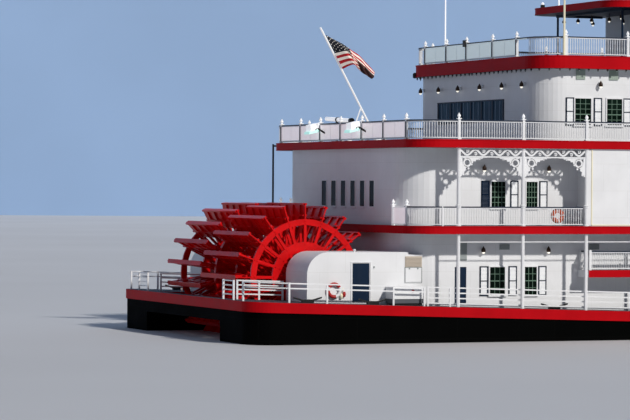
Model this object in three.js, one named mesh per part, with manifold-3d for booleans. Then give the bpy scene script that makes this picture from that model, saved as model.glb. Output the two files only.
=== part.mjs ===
// A sternwheel paddle boat at half of its real size, as an assembly of separate pieces.
// X runs forward to the bow, Y to port and Z up, in millimetres. The origin is on the
// centreline at half length, at the height of the flat bottom.

import * as THREE from 'three';
import { mergeVertices } from 'three/addons/utils/BufferGeometryUtils.js';
import Module from 'manifold-3d';

const wasm = await Module();
wasm.setup();

// One metre of the real boat, in millimetres of this half-size model.
const M = 500;

// Driving dimensions. Lengths along the boat are counted from the paddlewheel's station.
const seat = 0.3;                    // gap between pieces that touch
const sternEnd = -5.5 * M;
const bowEnd = 59.4 * M;
const midLength = (sternEnd + bowEnd) / 2;
const halfBeam = 11.3 * M;
const waterline = 2.2 * M;           // height of the water above the flat bottom

// Decks: aft edge, corner radius, start of the rounded front, its tip, half beam, top, edge depth.
const deckTable = {
  deck_2: { aft: 4.15, corner: 1.7, shoulder: 41, tip: 53.5, half: 11.3, top: 6.44, depth: 0.44 },
  deck_3: { aft: 4.15, corner: 1.7, shoulder: 40, tip: 51, half: 11.3, top: 11.24, depth: 0.46 },
  deck_4: { aft: 12.6, corner: 1.9, shoulder: 38, tip: 48, half: 9.4, top: 16.12, depth: 0.74 },
  canopy_roof: { aft: 19.1, corner: 1.3, shoulder: 40, tip: 43, half: 5.5, top: 19.65, depth: 0.42 },
};

// Deckhouses: the same columns, with the deck that each stands on and the one that it carries.
const wall = 0.2 * M;
const houseTable = {
  house_2: { aft: 4.42, corner: 2.0, shoulder: 39, tip: 46, half: 9.5, floor: 'deck_2', roof: 'deck_3' },
  house_3: { aft: 12.9, corner: 1.7, shoulder: 37, tip: 44, half: 8.8, floor: 'deck_3', roof: 'deck_4' },
  texas: { aft: 24, corner: 0.6, shoulder: 38, tip: 40.5, half: 5.0, floor: 'deck_4', roof: 'canopy_roof' },
};
const house1 = { aft: 4.6, corner: 1.6, shoulder: 39, tip: 47, half: 9.5 };
const flushWall = { aft: 14.95, half: 11.2 };   // full-width part of the second level

// Main deck: its height above the water falls forward from the stern and rises at the bow.
const mainDeckDepth = 0.56 * M;
const mainDeckCorner = 1.6;
const mainDeckShoulder = 42;
const sheerPoints = [[-8, 2.43], [18, 1.61], [26, 1.46], [34, 1.44], [42, 1.54], [50, 1.85], [60, 2.5]];
const hullInset = 0.08 * M;          // the black hull stands in by this much below the red edge

// Paddlewheel and the well that it turns in.
const wheelX = -0.2 * M;
const wheelZ = waterline + 3.5 * M;
const wheelHalfWidth = 5.85 * M;
const wheelTipRadius = 4.15 * M;
const paddleRoot = 2.97 * M;
const paddleThickness = 0.07 * M;
const rimOuter = 3.26 * M;
const rimInner = 2.93 * M;
const hubRingOuter = 1.98 * M;
const hubRingInner = 1.46 * M;
const hubRadius = 0.66 * M;
const armCount = 20;
const shaftRadius = 0.22 * M;
const wellHalf = 6.25 * M;
const wellAft = -4.6 * M;
const wellFore = 4.5 * M;

// Drive housings on the side decks, with the drive that turns the shaft.
const housing = { aft: -1.55, fore: 4.5, inner: 6.35, outer: 9.5, top: 4.98, round: 1.25, skin: 0.1 };
const housingDoor = { x: 1.16, width: 0.98, height: 2.1 };
const drive = { aft: -1.1, fore: 0.8, inner: 6.9, outer: 8.9, top: 4.3 };
const locker = { fore: 5.35, inner: 9.28, top: 4.84 };   // ahead of each housing, flush with its side

// Doors: leaf thickness, gap at the hinge edge and gap at the other edges.
const leafThickness = 0.05 * M;
const hingeGap = 12;
const edgeGap = 6;
const pinRadius = 9;
const sideDoor = { x: 7.35, width: 0.68, height: 2.05 };

// Rails: height, post side, bar sides, distance from the deck's edge.
const railHeight = 1.05 * M;
const railPost = 0.15 * M;
const railBar = 0.08 * M;
const railInset = 0.2 * M;
const pipeRadius = 0.035 * M;
const pipeHeights = [0.3, 0.55, 0.8, 1.05];

// Columns along the side, one bay apart.
const columnPitch = 3.95;
const firstColumn = 6.81;
const columnRadius = 0.11 * M;
const columnY = 11.1;

const colours = {
  red: [0xc01018, 0.45, 0.0],
  black: [0x0b0c0e, 0.5, 0.0],
  white: [0xe9eaee, 0.5, 0.0],
  navy: [0x0d1f3a, 0.5, 0.0],
  steel: [0x6f7276, 0.4, 0.7],
  gold: [0xb08a3c, 0.35, 0.8],
  cloth: [0xb03038, 0.9, 0.0],
};

const boat = new THREE.Group();
boat.position.set(-midLength, 0, 0);

// Solids

function solid(geometry) {
  const bare = new THREE.BufferGeometry();
  bare.setAttribute('position', geometry.getAttribute('position').clone());
  if (geometry.index) bare.setIndex(geometry.index.clone());
  const merged = mergeVertices(bare, 0.001);
  const mesh = new wasm.Mesh({
    numProp: 3,
    vertProperties: new Float32Array(merged.getAttribute('position').array),
    triVerts: new Uint32Array(merged.index.array),
  });
  return new wasm.Manifold(mesh);
}

function union(list) {
  let work = list;
  while (work.length > 1) {
    const next = [];
    for (let i = 0; i < work.length; i += 2) {
      next.push(i + 1 < work.length ? work[i].add(work[i + 1]) : work[i]);
    }
    work = next;
  }
  return work[0];
}

function add(name, body, colour) {
  const mesh = body.getMesh();
  const geometry = new THREE.BufferGeometry();
  geometry.setAttribute('position', new THREE.BufferAttribute(new Float32Array(mesh.vertProperties), 3));
  geometry.setIndex(new THREE.BufferAttribute(new Uint32Array(mesh.triVerts), 1));
  geometry.computeVertexNormals();
  const [color, roughness, metalness] = colours[colour];
  const item = new THREE.Mesh(geometry, new THREE.MeshStandardMaterial({ color, roughness, metalness }));
  item.name = name;
  boat.add(item);
}

function box(x0, x1, y0, y1, z0, z1) {
  const geometry = new THREE.BoxGeometry(x1 - x0, y1 - y0, z1 - z0);
  geometry.translate((x0 + x1) / 2, (y0 + y1) / 2, (z0 + z1) / 2);
  return solid(geometry);
}

// An outline in X and Y, drawn up from one height to another.
function prismZ(shape, z0, z1, segments = 5) {
  const geometry = new THREE.ExtrudeGeometry(shape, {
    depth: z1 - z0, bevelEnabled: false, curveSegments: segments,
  });
  geometry.translate(0, 0, z0);
  return solid(geometry);
}

// An outline in X and Z, drawn across from one Y to another.
function prismY(shape, y0, y1, segments = 6) {
  const geometry = new THREE.ExtrudeGeometry(shape, {
    depth: y1 - y0, bevelEnabled: false, curveSegments: segments,
  });
  geometry.rotateX(Math.PI / 2);
  geometry.translate(0, y1, 0);
  return solid(geometry);
}

// An outline in X and Z with holes cut through it.
function piercedY(shape, holes, y0, y1, segments = 4) {
  const cuts = holes.map((hole) => prismY(hole, y0 - M, y1 + M, segments));
  return prismY(shape, y0, y1, segments).subtract(union(cuts));
}

const scaled = (list) => list.map((x) => x * M);

const outline = (points) => new THREE.Shape(points.map(([x, z]) => new THREE.Vector2(x, z)));

// A round bar between two points.
function bar(from, to, radius, sides = 8) {
  const a = new THREE.Vector3(...from);
  const b = new THREE.Vector3(...to);
  const geometry = new THREE.CylinderGeometry(radius, radius, a.distanceTo(b), sides);
  const up = new THREE.Vector3(0, 1, 0);
  const turn = new THREE.Quaternion().setFromUnitVectors(up, b.clone().sub(a).normalize());
  geometry.applyQuaternion(turn);
  geometry.translate(...a.add(b).multiplyScalar(0.5).toArray());
  return solid(geometry);
}

// A flat strip along points of a deck plan, from one height to another.
function strip(path, width, z0, z1) {
  const left = [];
  const right = [];
  path.forEach(([x, y], i) => {
    const before = path[Math.max(i - 1, 0)];
    const after = path[Math.min(i + 1, path.length - 1)];
    const length = Math.hypot(after[0] - before[0], after[1] - before[1]);
    const nx = (-(after[1] - before[1]) / length) * (width / 2);
    const ny = ((after[0] - before[0]) / length) * (width / 2);
    left.push(new THREE.Vector2(x + nx, y + ny));
    right.push(new THREE.Vector2(x - nx, y - ny));
  });
  return prismZ(new THREE.Shape([...left, ...right.reverse()]), z0, z1);
}

const mirrored = (body) => body.mirror([0, 1, 0]);

// Outlines

// A deck plan: straight aft edge, rounded corners, straight sides and a round front.
function plan({ aft, corner, shoulder, tip, half }, inset = 0) {
  const x0 = aft * M + inset;
  const h = half * M - inset;
  const r = Math.max(corner * M - inset, 1);
  const s = shoulder * M;
  const nose = tip * M - inset - s;
  const shape = new THREE.Shape();
  shape.moveTo(x0 + r, -h);
  shape.lineTo(s, -h);
  shape.absellipse(s, 0, nose, h, -Math.PI / 2, 0, false, 0);
  shape.absellipse(s, 0, nose, h, 0, Math.PI / 2, false, 0);
  shape.lineTo(x0 + r, h);
  shape.absarc(x0 + r, h - r, r, Math.PI / 2, Math.PI, false);
  shape.lineTo(x0, -h + r);
  shape.absarc(x0 + r, -h + r, r, Math.PI, 1.5 * Math.PI, false);
  return shape;
}

const mainPlan = {
  aft: sternEnd / M, corner: mainDeckCorner, shoulder: mainDeckShoulder, tip: bowEnd / M, half: halfBeam / M,
};

// The side view between a floor height and the sheer line moved by a distance.
function sheerSide(lift, floor) {
  const shape = new THREE.Shape();
  const line = sheerPoints.map(([x, z]) => [x * M, waterline + z * M + lift]);
  shape.moveTo(line[0][0], floor);
  shape.lineTo(line[line.length - 1][0], floor);
  for (const [x, z] of line.reverse()) shape.lineTo(x, z);
  return shape;
}

const wide = halfBeam + M;
const belowMainDeck = prismY(sheerSide(seat, -M), -wide, wide);

// The height of the main deck at a station given in real metres.
function mainDeckTop(x) {
  for (let i = 1; i < sheerPoints.length; i += 1) {
    const [xa, za] = sheerPoints[i - 1];
    const [xb, zb] = sheerPoints[i];
    if (x <= xb) return waterline + (za + ((zb - za) * (x - xa)) / (xb - xa)) * M;
  }
  return waterline;
}

const deckTop = (name) => waterline + deckTable[name].top * M;
const deckUnder = (name) => deckTop(name) - deckTable[name].depth * M;

// Whatever stands on the sloping main deck is trimmed to it.
const standOnMainDeck = (body) => body.subtract(belowMainDeck);

// Hull

function makeHull() {
  const side = new THREE.Shape();
  side.moveTo(wellFore, 0);
  side.lineTo(45 * M, 0);
  side.quadraticCurveTo(55 * M, 0.1 * M, 58.6 * M, waterline + 2.5 * M);
  side.lineTo(wellFore, waterline + 2.5 * M);
  const shell = prismZ(plan(mainPlan, hullInset), 0, waterline + 3 * M, 6);
  const cap = prismY(sheerSide(-mainDeckDepth - seat, -M), -wide, wide);
  return shell.intersect(prismY(side, -wide, wide)).intersect(cap);
}

function makeSponson() {
  const side = new THREE.Shape();
  const aft = sternEnd + hullInset;
  side.moveTo(-2 * M, 0);
  side.lineTo(wellFore - seat, 0);
  side.lineTo(wellFore - seat, waterline + 2.6 * M);
  side.lineTo(aft, waterline + 2.6 * M);
  side.lineTo(aft, 1.2 * M);
  side.quadraticCurveTo(aft + 1.2 * M, 0.1 * M, -2 * M, 0);
  const shell = prismZ(plan(mainPlan, hullInset), 0, waterline + 3 * M);
  const cap = prismY(sheerSide(-mainDeckDepth - seat, -M), -wide, wide);
  return shell.intersect(prismY(side, -wide, -wellHalf)).intersect(cap);
}

// A box girder closes the well behind the wheel, clear of the water.
function makeCrossbeam() {
  const aft = sternEnd + hullInset;
  const half = wellHalf - seat;
  const beam = box(aft, wellAft, -half, half, waterline + 1.15 * M, waterline + 3 * M);
  return beam.intersect(prismY(sheerSide(-mainDeckDepth - seat, -M), -wide, wide));
}

const mainSlab = prismZ(plan(mainPlan), 0, waterline + 3 * M, 6)
  .intersect(prismY(sheerSide(0, -M), -wide, wide))
  .subtract(prismY(sheerSide(-mainDeckDepth, -M), -wide, wide));

const sponson = makeSponson();
add('hull', makeHull(), 'black');
add('sponson_starboard', sponson, 'black');
add('sponson_port', mirrored(sponson), 'black');
add('stern_crossbeam', makeCrossbeam(), 'black');

// The mooring cleats stand on the side decks: a base with two horns.
function cleat(x, y) {
  const z = mainDeckTop(x / M);
  const above = [[-0.82, 0.34], [-0.3, 0.2], [0.3, 0.2], [0.82, 0.34]];
  const below = [[0.82, 0.26], [0.3, 0.1], [-0.3, 0.1], [-0.82, 0.26]];
  const horns = outline([...above, ...below].map(([u, v]) => [x + u * M, z + v * M]));
  const base = box(x - 0.34 * M, x + 0.34 * M, y - 0.1 * M, y + 0.1 * M, z - 0.04 * M, z + 0.15 * M);
  return prismY(horns, y - 0.06 * M, y + 0.06 * M).add(base);
}
const aftCleats = [-1.95, 1.9];
const foreCleats = [13, 30, 44];

const cleatY = 10.6 * M;
const bowCleatY = 8.9 * M;
const tall = 20 * M;

const sideDeckCut = box(sternEnd - M, wellFore - seat, -wide, -wellHalf, 0, tall);
const sideDeck = union([mainSlab.intersect(sideDeckCut), ...aftCleats.map((x) => cleat(x * M, -cleatY))]);
add('side_deck_starboard', sideDeck, 'red');
add('side_deck_port', mirrored(sideDeck), 'red');
const sternDeckCut = box(sternEnd - M, wellAft, -wellHalf + seat, wellHalf - seat, 0, tall);
add('stern_deck', mainSlab.intersect(sternDeckCut), 'red');
const foreDeckParts = [mainSlab.intersect(box(wellFore, bowEnd + M, -wide, wide, 0, tall))];
for (const x of foreCleats) {
  const y = x > mainDeckShoulder ? bowCleatY : cleatY;
  foreDeckParts.push(cleat(x * M, -y), cleat(x * M, y));
}
add('main_deck', union(foreDeckParts), 'red');

// Upper decks

for (const [name, deck] of Object.entries(deckTable)) {
  add(name, prismZ(plan(deck), deckUnder(name), deckTop(name)), 'red');
}

// Deckhouses

// A door opening: its sill stands above the deck, so that the leaf turns on a pin there.
function doorway(x, width, sill, height, y0, y1) {
  return box(x - edgeGap, x + width + hingeGap, y0, y1, sill, sill + height + 2 * edgeGap);
}

// A leaf hinged at its forward edge, with a pin at its foot and head.
function doorLeaf(x, width, sill, height, face) {
  const leaf = box(x, x + width, face, face + leafThickness, sill + edgeGap, sill + edgeGap + height);
  const px = x + width - pinRadius - 3;
  const py = face + leafThickness / 2;
  const pin = bar([px, py, sill + seat], [px, py, sill + height + 2 * edgeGap - seat], pinRadius, 8);
  return leaf.add(pin);
}

const sideSill = mainDeckTop(sideDoor.x) + 0.12 * M;

function makeHouse1() {
  const top = deckUnder('deck_2') - seat;
  const outer = prismZ(plan(house1), waterline, top);
  const inner = prismZ(plan(house1, wall), 0, top + M);
  const face = -house1.half * M;
  const hole = doorway(
    sideDoor.x * M, sideDoor.width * M, sideSill, sideDoor.height * M, face - wall / 2, face + 1.5 * wall,
  );
  return standOnMainDeck(outer.subtract(inner).subtract(hole).subtract(mirrored(hole)));
}
add('house_1', makeHouse1(), 'white');

function ring(spec) {
  const z0 = deckTop(spec.floor) + seat;
  const z1 = deckUnder(spec.roof) - seat;
  return prismZ(plan(spec), z0, z1).subtract(prismZ(plan(spec, wall), z0 - M, z1 + M));
}

// The second level steps out to the full beam ahead of the open gallery.
function makeHouse2() {
  const spec = houseTable.house_2;
  const z0 = deckTop(spec.floor) + seat;
  const z1 = deckUnder(spec.roof) - seat;
  const broad = { aft: flushWall.aft, corner: 0.1, shoulder: 36, tip: 46, half: flushWall.half };
  const outer = prismZ(plan(spec), z0, z1).add(prismZ(plan(broad), z0, z1));
  const inner = prismZ(plan(spec, wall), z0 - M, z1 + M).add(prismZ(plan(broad, wall), z0 - M, z1 + M));
  return outer.subtract(inner);
}
add('house_2', makeHouse2(), 'white');
add('house_3', ring(houseTable.house_3), 'white');
add('texas', ring(houseTable.texas), 'white');

const sideLeaf = doorLeaf(
  sideDoor.x * M, sideDoor.width * M, sideSill, sideDoor.height * M, -house1.half * M,
);
add('side_door_starboard', sideLeaf, 'navy');
add('side_door_port', mirrored(sideLeaf), 'navy');

// Drive housings, with their doors and the drives inside

function housingShape(inset) {
  const top = waterline + housing.top * M - inset;
  const aft = housing.aft * M + inset;
  const fore = housing.fore * M - inset;
  const r = housing.round * M - inset;
  const shape = new THREE.Shape();
  shape.moveTo(aft, waterline);
  shape.lineTo(fore, waterline);
  shape.lineTo(fore, top);
  shape.lineTo(aft + r, top);
  shape.absarc(aft + r, top - r, r, Math.PI / 2, Math.PI, false);
  return shape;
}

const housingSill = mainDeckTop(housingDoor.x) + 0.1 * M;

function makeHousing() {
  const skin = housing.skin * M;
  const outer = prismY(housingShape(0), -housing.outer * M, -housing.inner * M, 8);
  const inner = prismY(housingShape(skin), -housing.outer * M + skin, -housing.inner * M - skin, 8);
  const hollow = inner.add(inner.translate([0, 0, -0.5 * M]));
  const door = doorway(
    housingDoor.x * M, housingDoor.width * M, housingSill, housingDoor.height * M,
    -housing.outer * M - M, -housing.outer * M + 0.4 * M,
  );
  const shaftHole = bar([wheelX, -5 * M, wheelZ], [wheelX, -7 * M, wheelZ], shaftRadius + 0.06 * M, 24);
  const ahead = box(
    (housing.fore - housing.skin) * M, locker.fore * M, -housing.outer * M, -locker.inner * M,
    waterline, waterline + locker.top * M,
  );
  return standOnMainDeck(outer.subtract(hollow).subtract(door).subtract(shaftHole).add(ahead));
}

function makeDrive() {
  const block = box(
    drive.aft * M, drive.fore * M, -drive.outer * M, -drive.inner * M, waterline, waterline + drive.top * M,
  );
  const bore = (shaftRadius + 0.5) / Math.cos(Math.PI / 24);
  const seatHole = bar([wheelX, -6 * M, wheelZ], [wheelX, -(drive.inner + 0.4) * M, wheelZ], bore, 24);
  return standOnMainDeck(block.subtract(seatHole));
}

const housingBody = makeHousing();
const driveBody = makeDrive();
const housingLeaf = doorLeaf(
  housingDoor.x * M, housingDoor.width * M, housingSill, housingDoor.height * M, -housing.outer * M + 5,
);
add('housing_starboard', housingBody, 'white');
add('housing_port', mirrored(housingBody), 'white');
add('housing_door_starboard', housingLeaf, 'navy');
add('housing_door_port', mirrored(housingLeaf), 'navy');
add('drive_starboard', driveBody, 'steel');
add('drive_port', mirrored(driveBody), 'steel');

// Paddlewheel: two sets of paddles, the second half a pitch behind the first

const armPitch = (2 * Math.PI) / armCount;

function wheelPoint(radius, angle) {
  return [wheelX + radius * Math.cos(angle), wheelZ + radius * Math.sin(angle)];
}

// One frame of the wheel: a rim and a hub ring with the arms left between cut windows.
function wheelFrame(turn, y0, y1, openHub) {
  const corner = (_, i) => wheelPoint(rimOuter, ((i + 2 * turn) * armPitch) / 2);
  const rim = Array.from({ length: 2 * armCount }, corner);
  const halfArm = 0.08 * M;
  const lean = (radius) => Math.asin(halfArm / radius);
  const windows = [];
  for (let i = 0; i < armCount; i += 1) {
    const a0 = (i + turn) * armPitch;
    const a1 = a0 + armPitch;
    const edges = (radius) => [wheelPoint(radius, a0 + lean(radius)), wheelPoint(radius, a1 - lean(radius))];
    const [lowA, lowB] = edges(hubRingOuter);
    const [highA, highB] = edges(rimInner);
    windows.push(outline([lowA, highA, highB, lowB]));
    if (openHub) windows.push(outline([wheelPoint(hubRadius, a0 + armPitch / 2), ...edges(hubRingInner)]));
  }
  return piercedY(outline(rim), windows, y0, y1);
}

function paddle(angle, y0, y1) {
  const geometry = new THREE.BoxGeometry(wheelTipRadius - paddleRoot, y1 - y0, paddleThickness);
  geometry.translate((wheelTipRadius + paddleRoot) / 2, (y0 + y1) / 2, 0);
  geometry.rotateY(-angle);
  geometry.translate(wheelX, 0, wheelZ);
  return solid(geometry);
}

function makeWheel() {
  const frame = 0.16 * M;
  const half = wheelHalfWidth;
  const shaftEnd = (drive.inner + 0.4) * M - seat;
  const parts = [
    bar([wheelX, -shaftEnd, wheelZ], [wheelX, shaftEnd, wheelZ], shaftRadius, 24),
    bar([wheelX, -half + 0.03 * M, wheelZ], [wheelX, half - 0.03 * M, wheelZ], hubRadius * 0.9, 12),
    wheelFrame(0, -half, -half + frame, true),
    wheelFrame(0, -frame, frame, false),
    wheelFrame(0.5, half - frame, half, true),
  ];
  for (let i = 0; i < armCount; i += 1) {
    parts.push(paddle(i * armPitch, -half + 0.01 * M, -0.02 * M));
    parts.push(paddle((i + 0.5) * armPitch, 0.02 * M, half - 0.01 * M));
  }
  return union(parts);
}
add('paddlewheel', makeWheel(), 'red');

// Rudders hang on the flat stern ahead of the wheel

const rudderX = 4.15 * M;
const rudderY = 3.2 * M;
const rudderStock = 0.09 * M;

function makeRudder(y) {
  const blade = box(rudderX - 1.45 * M, rudderX + 0.12 * M, y - 0.06 * M, y + 0.06 * M, 0.2 * M, 1.75 * M);
  return blade.add(bar([rudderX, y, 0.12 * M], [rudderX, y, 2.1 * M], rudderStock, 12));
}

function makeRudderBracket(y) {
  const arms = [[0.02, 0.12], [1.85, 1.97]].map(([z0, z1]) => {
    const plate = box(rudderX - 0.2 * M, wellFore - seat, y - 0.2 * M, y + 0.2 * M, z0 * M, z1 * M);
    const bore = (rudderStock + 0.5) / Math.cos(Math.PI / 12);
    const hole = bar([rudderX, y, (z0 - 1) * M], [rudderX, y, (z1 + 1) * M], bore, 12);
    return z0 > 1 ? plate.subtract(hole) : plate;
  });
  const web = box(wellFore - 0.08 * M, wellFore - seat, y - 0.2 * M, y + 0.2 * M, 0.02 * M, 1.97 * M);
  return union([...arms, web]);
}

for (const [side, y] of [['starboard', -rudderY], ['port', rudderY]]) {
  add(`rudder_${side}`, makeRudder(y).translate([0, 0, seat]), 'black');
  add(`rudder_bracket_${side}`, makeRudderBracket(y), 'black');
}

// Rails

const halfPost = railPost / 2;
const panelHalf = 0.02 * M;

// Posts of the stern runs, from starboard to port.
const sternPosts = {
  deck_3: scaled([-9.5, -6.33, -3.17, 0, 3.17, 6.33, 9.5]),
  deck_4: scaled([-5.98, -2.76, 0.86, 3.74, 6.9]),
};

// A top rail along points of a deck plan, with its posts.
function balustrade(path, posts, z) {
  const top = z + railHeight;
  const parts = posts.map(([x, y]) => (
    box(x - halfPost, x + halfPost, y - halfPost, y + halfPost, z + seat, top + 0.08 * M)
  ));
  parts.push(strip(path, railBar, top - railBar, top));
  return union(parts);
}

// Points evenly spaced from one to another, both ends in.
function spread(from, to, count) {
  return Array.from({ length: count }, (_, i) => {
    const t = i / (count - 1);
    return [from[0] + (to[0] - from[0]) * t, from[1] + (to[1] - from[1]) * t];
  });
}

// The starboard corner of a deck's rail, from the stern edge round to the side.
function cornerArc(deck, steps = 4) {
  const r = deck.corner * M - railInset;
  const cx = (deck.aft + deck.corner) * M;
  const cy = -(deck.half - deck.corner) * M;
  return Array.from({ length: steps + 1 }, (_, i) => {
    const angle = Math.PI + (i * Math.PI) / 2 / steps;
    return [cx + r * Math.cos(angle), cy + r * Math.sin(angle)];
  });
}

// The starboard side of the round front, from the shoulder towards the centreline.
function noseArc(deck, steps = 8, stop = 0.98) {
  const nose = (deck.tip - deck.shoulder) * M - railInset;
  const h = deck.half * M - railInset;
  return Array.from({ length: steps + 1 }, (_, i) => {
    const angle = -Math.PI / 2 + (i * stop * Math.PI) / 2 / steps;
    return [deck.shoulder * M + nose * Math.cos(angle), h * Math.sin(angle)];
  });
}

const railJoint = 0.1 * M;           // half of the gap between two runs of rail

// Stern run of deck 3 and deck 4, between the corners, with solid panels between its posts.
function sternRail(deck, z, across) {
  const x = deck.aft * M + railInset;
  const end = (deck.half - deck.corner) * M - railJoint;
  const parts = [balustrade([[x, -end], [x, end]], across.map((y) => [x, y]), z)];
  for (let i = 1; i < across.length; i += 1) {
    parts.push(box(x - panelHalf, x + panelHalf, across[i - 1], across[i], z + 0.1 * M, z + 0.97 * M));
  }
  return union(parts);
}

// Side run: round the corner, along the side and round the front to the centreline.
function sideRail(deck, z, firstPost) {
  const corner = cornerArc(deck);
  corner[0][1] -= railJoint;
  const y = -deck.half * M + railInset;
  const nose = noseArc(deck);
  const posts = [nose[0], nose[2], nose[4], nose[6], nose[8]];
  for (let x = firstPost; x < deck.shoulder - 1; x += columnPitch) posts.push([x * M, y]);
  return balustrade([...corner, ...nose], posts, z);
}

const deck3 = deckTable.deck_3;
const deck4 = deckTable.deck_4;
const deck2 = deckTable.deck_2;
const side3 = sideRail(deck3, deckTop('deck_3'), firstColumn);
const side4 = sideRail(deck4, deckTop('deck_4'), 14.33);
add('rail_3_stern', sternRail(deck3, deckTop('deck_3'), sternPosts.deck_3), 'white');
add('rail_3_starboard', side3, 'white');
add('rail_3_port', mirrored(side3), 'white');
add('rail_4_stern', sternRail(deck4, deckTop('deck_4'), sternPosts.deck_4), 'white');
add('rail_4_starboard', side4, 'white');
add('rail_4_port', mirrored(side4), 'white');

// The gallery of the second level has its rail between the columns.
function galleryRail() {
  const z = deckTop('deck_2');
  const corner = cornerArc(deck2);
  const start = [deck2.aft * M + railInset, corner[0][1] + 0.3 * M];
  const y = -deck2.half * M + railInset;
  const end = [14.5 * M, y];
  return { z, path: [start, ...corner, end], posts: [start, corner[0], corner[4]] };
}

// Columns, with the gallery's rail and carved frieze between them

function column(x, y, z0, z1) {
  return bar([x, y, z0], [x, y, z1], columnRadius, 8);
}

// The carved board under the deck between two columns: a waved band above an arch with
// a ring in each of its corners.
function frieze(x0, x1, top) {
  const shape = new THREE.Shape();
  const low = top - 0.5 * M;
  const arch = [[0, -1.05], [0.14, -1.02], [0.3, -0.75], [0.66, -0.5], [0.9, -0.16], [1.6, -0.06]];
  const under = [
    ...arch.map(([u, v]) => [x0 + u * M, low + v * M]),
    ...arch.slice().reverse().map(([u, v]) => [x1 - u * M, low + v * M]),
  ];
  shape.moveTo(x0, top);
  for (const [x, z] of under) shape.lineTo(x, z);
  shape.lineTo(x1, top);
  const holes = [];
  const waves = 4;
  const pitch = (x1 - x0) / waves;
  const band = 0.05 * M;
  for (let i = 0; i < 2 * waves; i += 1) {
    const middle = x0 + ((i + 0.5) * pitch) / 2;
    const up = i % 2 === 0 ? 1 : -1;
    const base = up > 0 ? low + 0.07 * M : top - 0.07 * M;
    const peak = up > 0 ? top - 0.13 * M : low + 0.13 * M;
    const reach = pitch / 2 - band;
    const corners = [[middle - reach / 2, base], [middle + reach / 2, base], [middle, peak]];
    holes.push(outline(corners));
  }
  for (const cx of [x0 + 0.42 * M, x1 - 0.42 * M]) {
    const ring = Array.from({ length: 8 }, (_, i) => [
      cx + 0.16 * M * Math.cos((i * Math.PI) / 4), low + (-0.3 + 0.16 * Math.sin((i * Math.PI) / 4)) * M,
    ]);
    holes.push(outline(ring));
  }
  return piercedY(shape, holes, (-columnY - 0.03) * M, (-columnY + 0.03) * M);
}

function makeGallery() {
  const { z, path, posts } = galleryRail();
  const top = deckUnder('deck_3') - seat;
  const xs = [0, 1, 2].map((i) => (firstColumn + i * columnPitch) * M);
  const parts = [balustrade(path, posts, z)];
  for (const x of xs) parts.push(column(x, -columnY * M, z + seat, top));
  for (let i = 1; i < xs.length; i += 1) parts.push(frieze(xs[i - 1], xs[i], top));
  return union(parts);
}

// Columns of the main deck, joined by the pipe that runs along them.
function makeColonnade() {
  const top = deckUnder('deck_2') - seat;
  const xs = Array.from({ length: 9 }, (_, i) => (firstColumn + i * columnPitch) * M);
  const parts = xs.map((x) => column(x, -columnY * M, waterline, top));
  const pipeZ = waterline + 5.55 * M;
  parts.push(bar([xs[0], -columnY * M, pipeZ], [xs[8], -columnY * M, pipeZ], pipeRadius, 4));
  return standOnMainDeck(union(parts));
}

const gallery = makeGallery();
const colonnade = makeColonnade();
add('gallery_starboard', gallery, 'white');
add('gallery_port', mirrored(gallery), 'white');
add('colonnade_starboard', colonnade, 'white');
add('colonnade_port', mirrored(colonnade), 'white');

// Pipe rails of the main deck

const postHalf = 0.05 * M;
const railY = -10.9 * M;
const innerRailY = -6.45 * M;
const outerHeights = { aft: [0.78, 1.05], fore: [0.18, 0.47, 0.76, 1.05] };
const aboveDeck = (x, h) => mainDeckTop(x / M) + h * M;

// A straight run along the side, cut as one grille: posts at the stations, bars at the heights.
function sideGrille(xs, y, heights) {
  const last = xs[xs.length - 1];
  const shape = new THREE.Shape();
  const t = pipeRadius;
  shape.moveTo(xs[0] - postHalf, aboveDeck(xs[0], -0.1));
  xs.forEach((x, i) => {
    shape.lineTo(x + postHalf, aboveDeck(x, -0.1));
    if (i === xs.length - 1) return;
    shape.lineTo(x + postHalf, aboveDeck(x + postHalf, heights[0]) - t);
    shape.lineTo(xs[i + 1] - postHalf, aboveDeck(xs[i + 1] - postHalf, heights[0]) - t);
    shape.lineTo(xs[i + 1] - postHalf, aboveDeck(xs[i + 1], -0.1));
  });
  const top = heights[heights.length - 1];
  shape.lineTo(last + postHalf, aboveDeck(last + postHalf, top) + t);
  xs.slice(0, -1).reverse().forEach((x) => {
    shape.lineTo(x - postHalf, aboveDeck(x - postHalf, top) + t);
  });
  const holes = [];
  for (let i = 1; i < xs.length; i += 1) {
    const x0 = xs[i - 1] + postHalf;
    const x1 = xs[i] - postHalf;
    for (let k = 1; k < heights.length; k += 1) {
      const hole = [
        [x0, aboveDeck(x0, heights[k - 1]) + t], [x1, aboveDeck(x1, heights[k - 1]) + t],
        [x1, aboveDeck(x1, heights[k]) - t], [x0, aboveDeck(x0, heights[k]) - t],
      ];
      holes.push(outline(hole));
    }
  }
  return piercedY(shape, holes, y - t, y + t);
}

// A bent run: bars between points of the deck plan, with posts at all or some of the points.
function bentRun(points, heights, standing = points) {
  const head = heights[heights.length - 1] + 0.05;
  const parts = standing.map(([x, y]) => box(
    x - postHalf, x + postHalf, y - postHalf, y + postHalf, aboveDeck(x, -0.1), aboveDeck(x, head),
  ));
  for (let i = 1; i < points.length; i += 1) {
    const [a, b] = [points[i - 1], points[i]];
    for (const h of heights) {
      parts.push(bar([...a, aboveDeck(a[0], h)], [...b, aboveDeck(b[0], h)], pipeRadius, 4));
    }
  }
  return union(parts);
}

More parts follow.
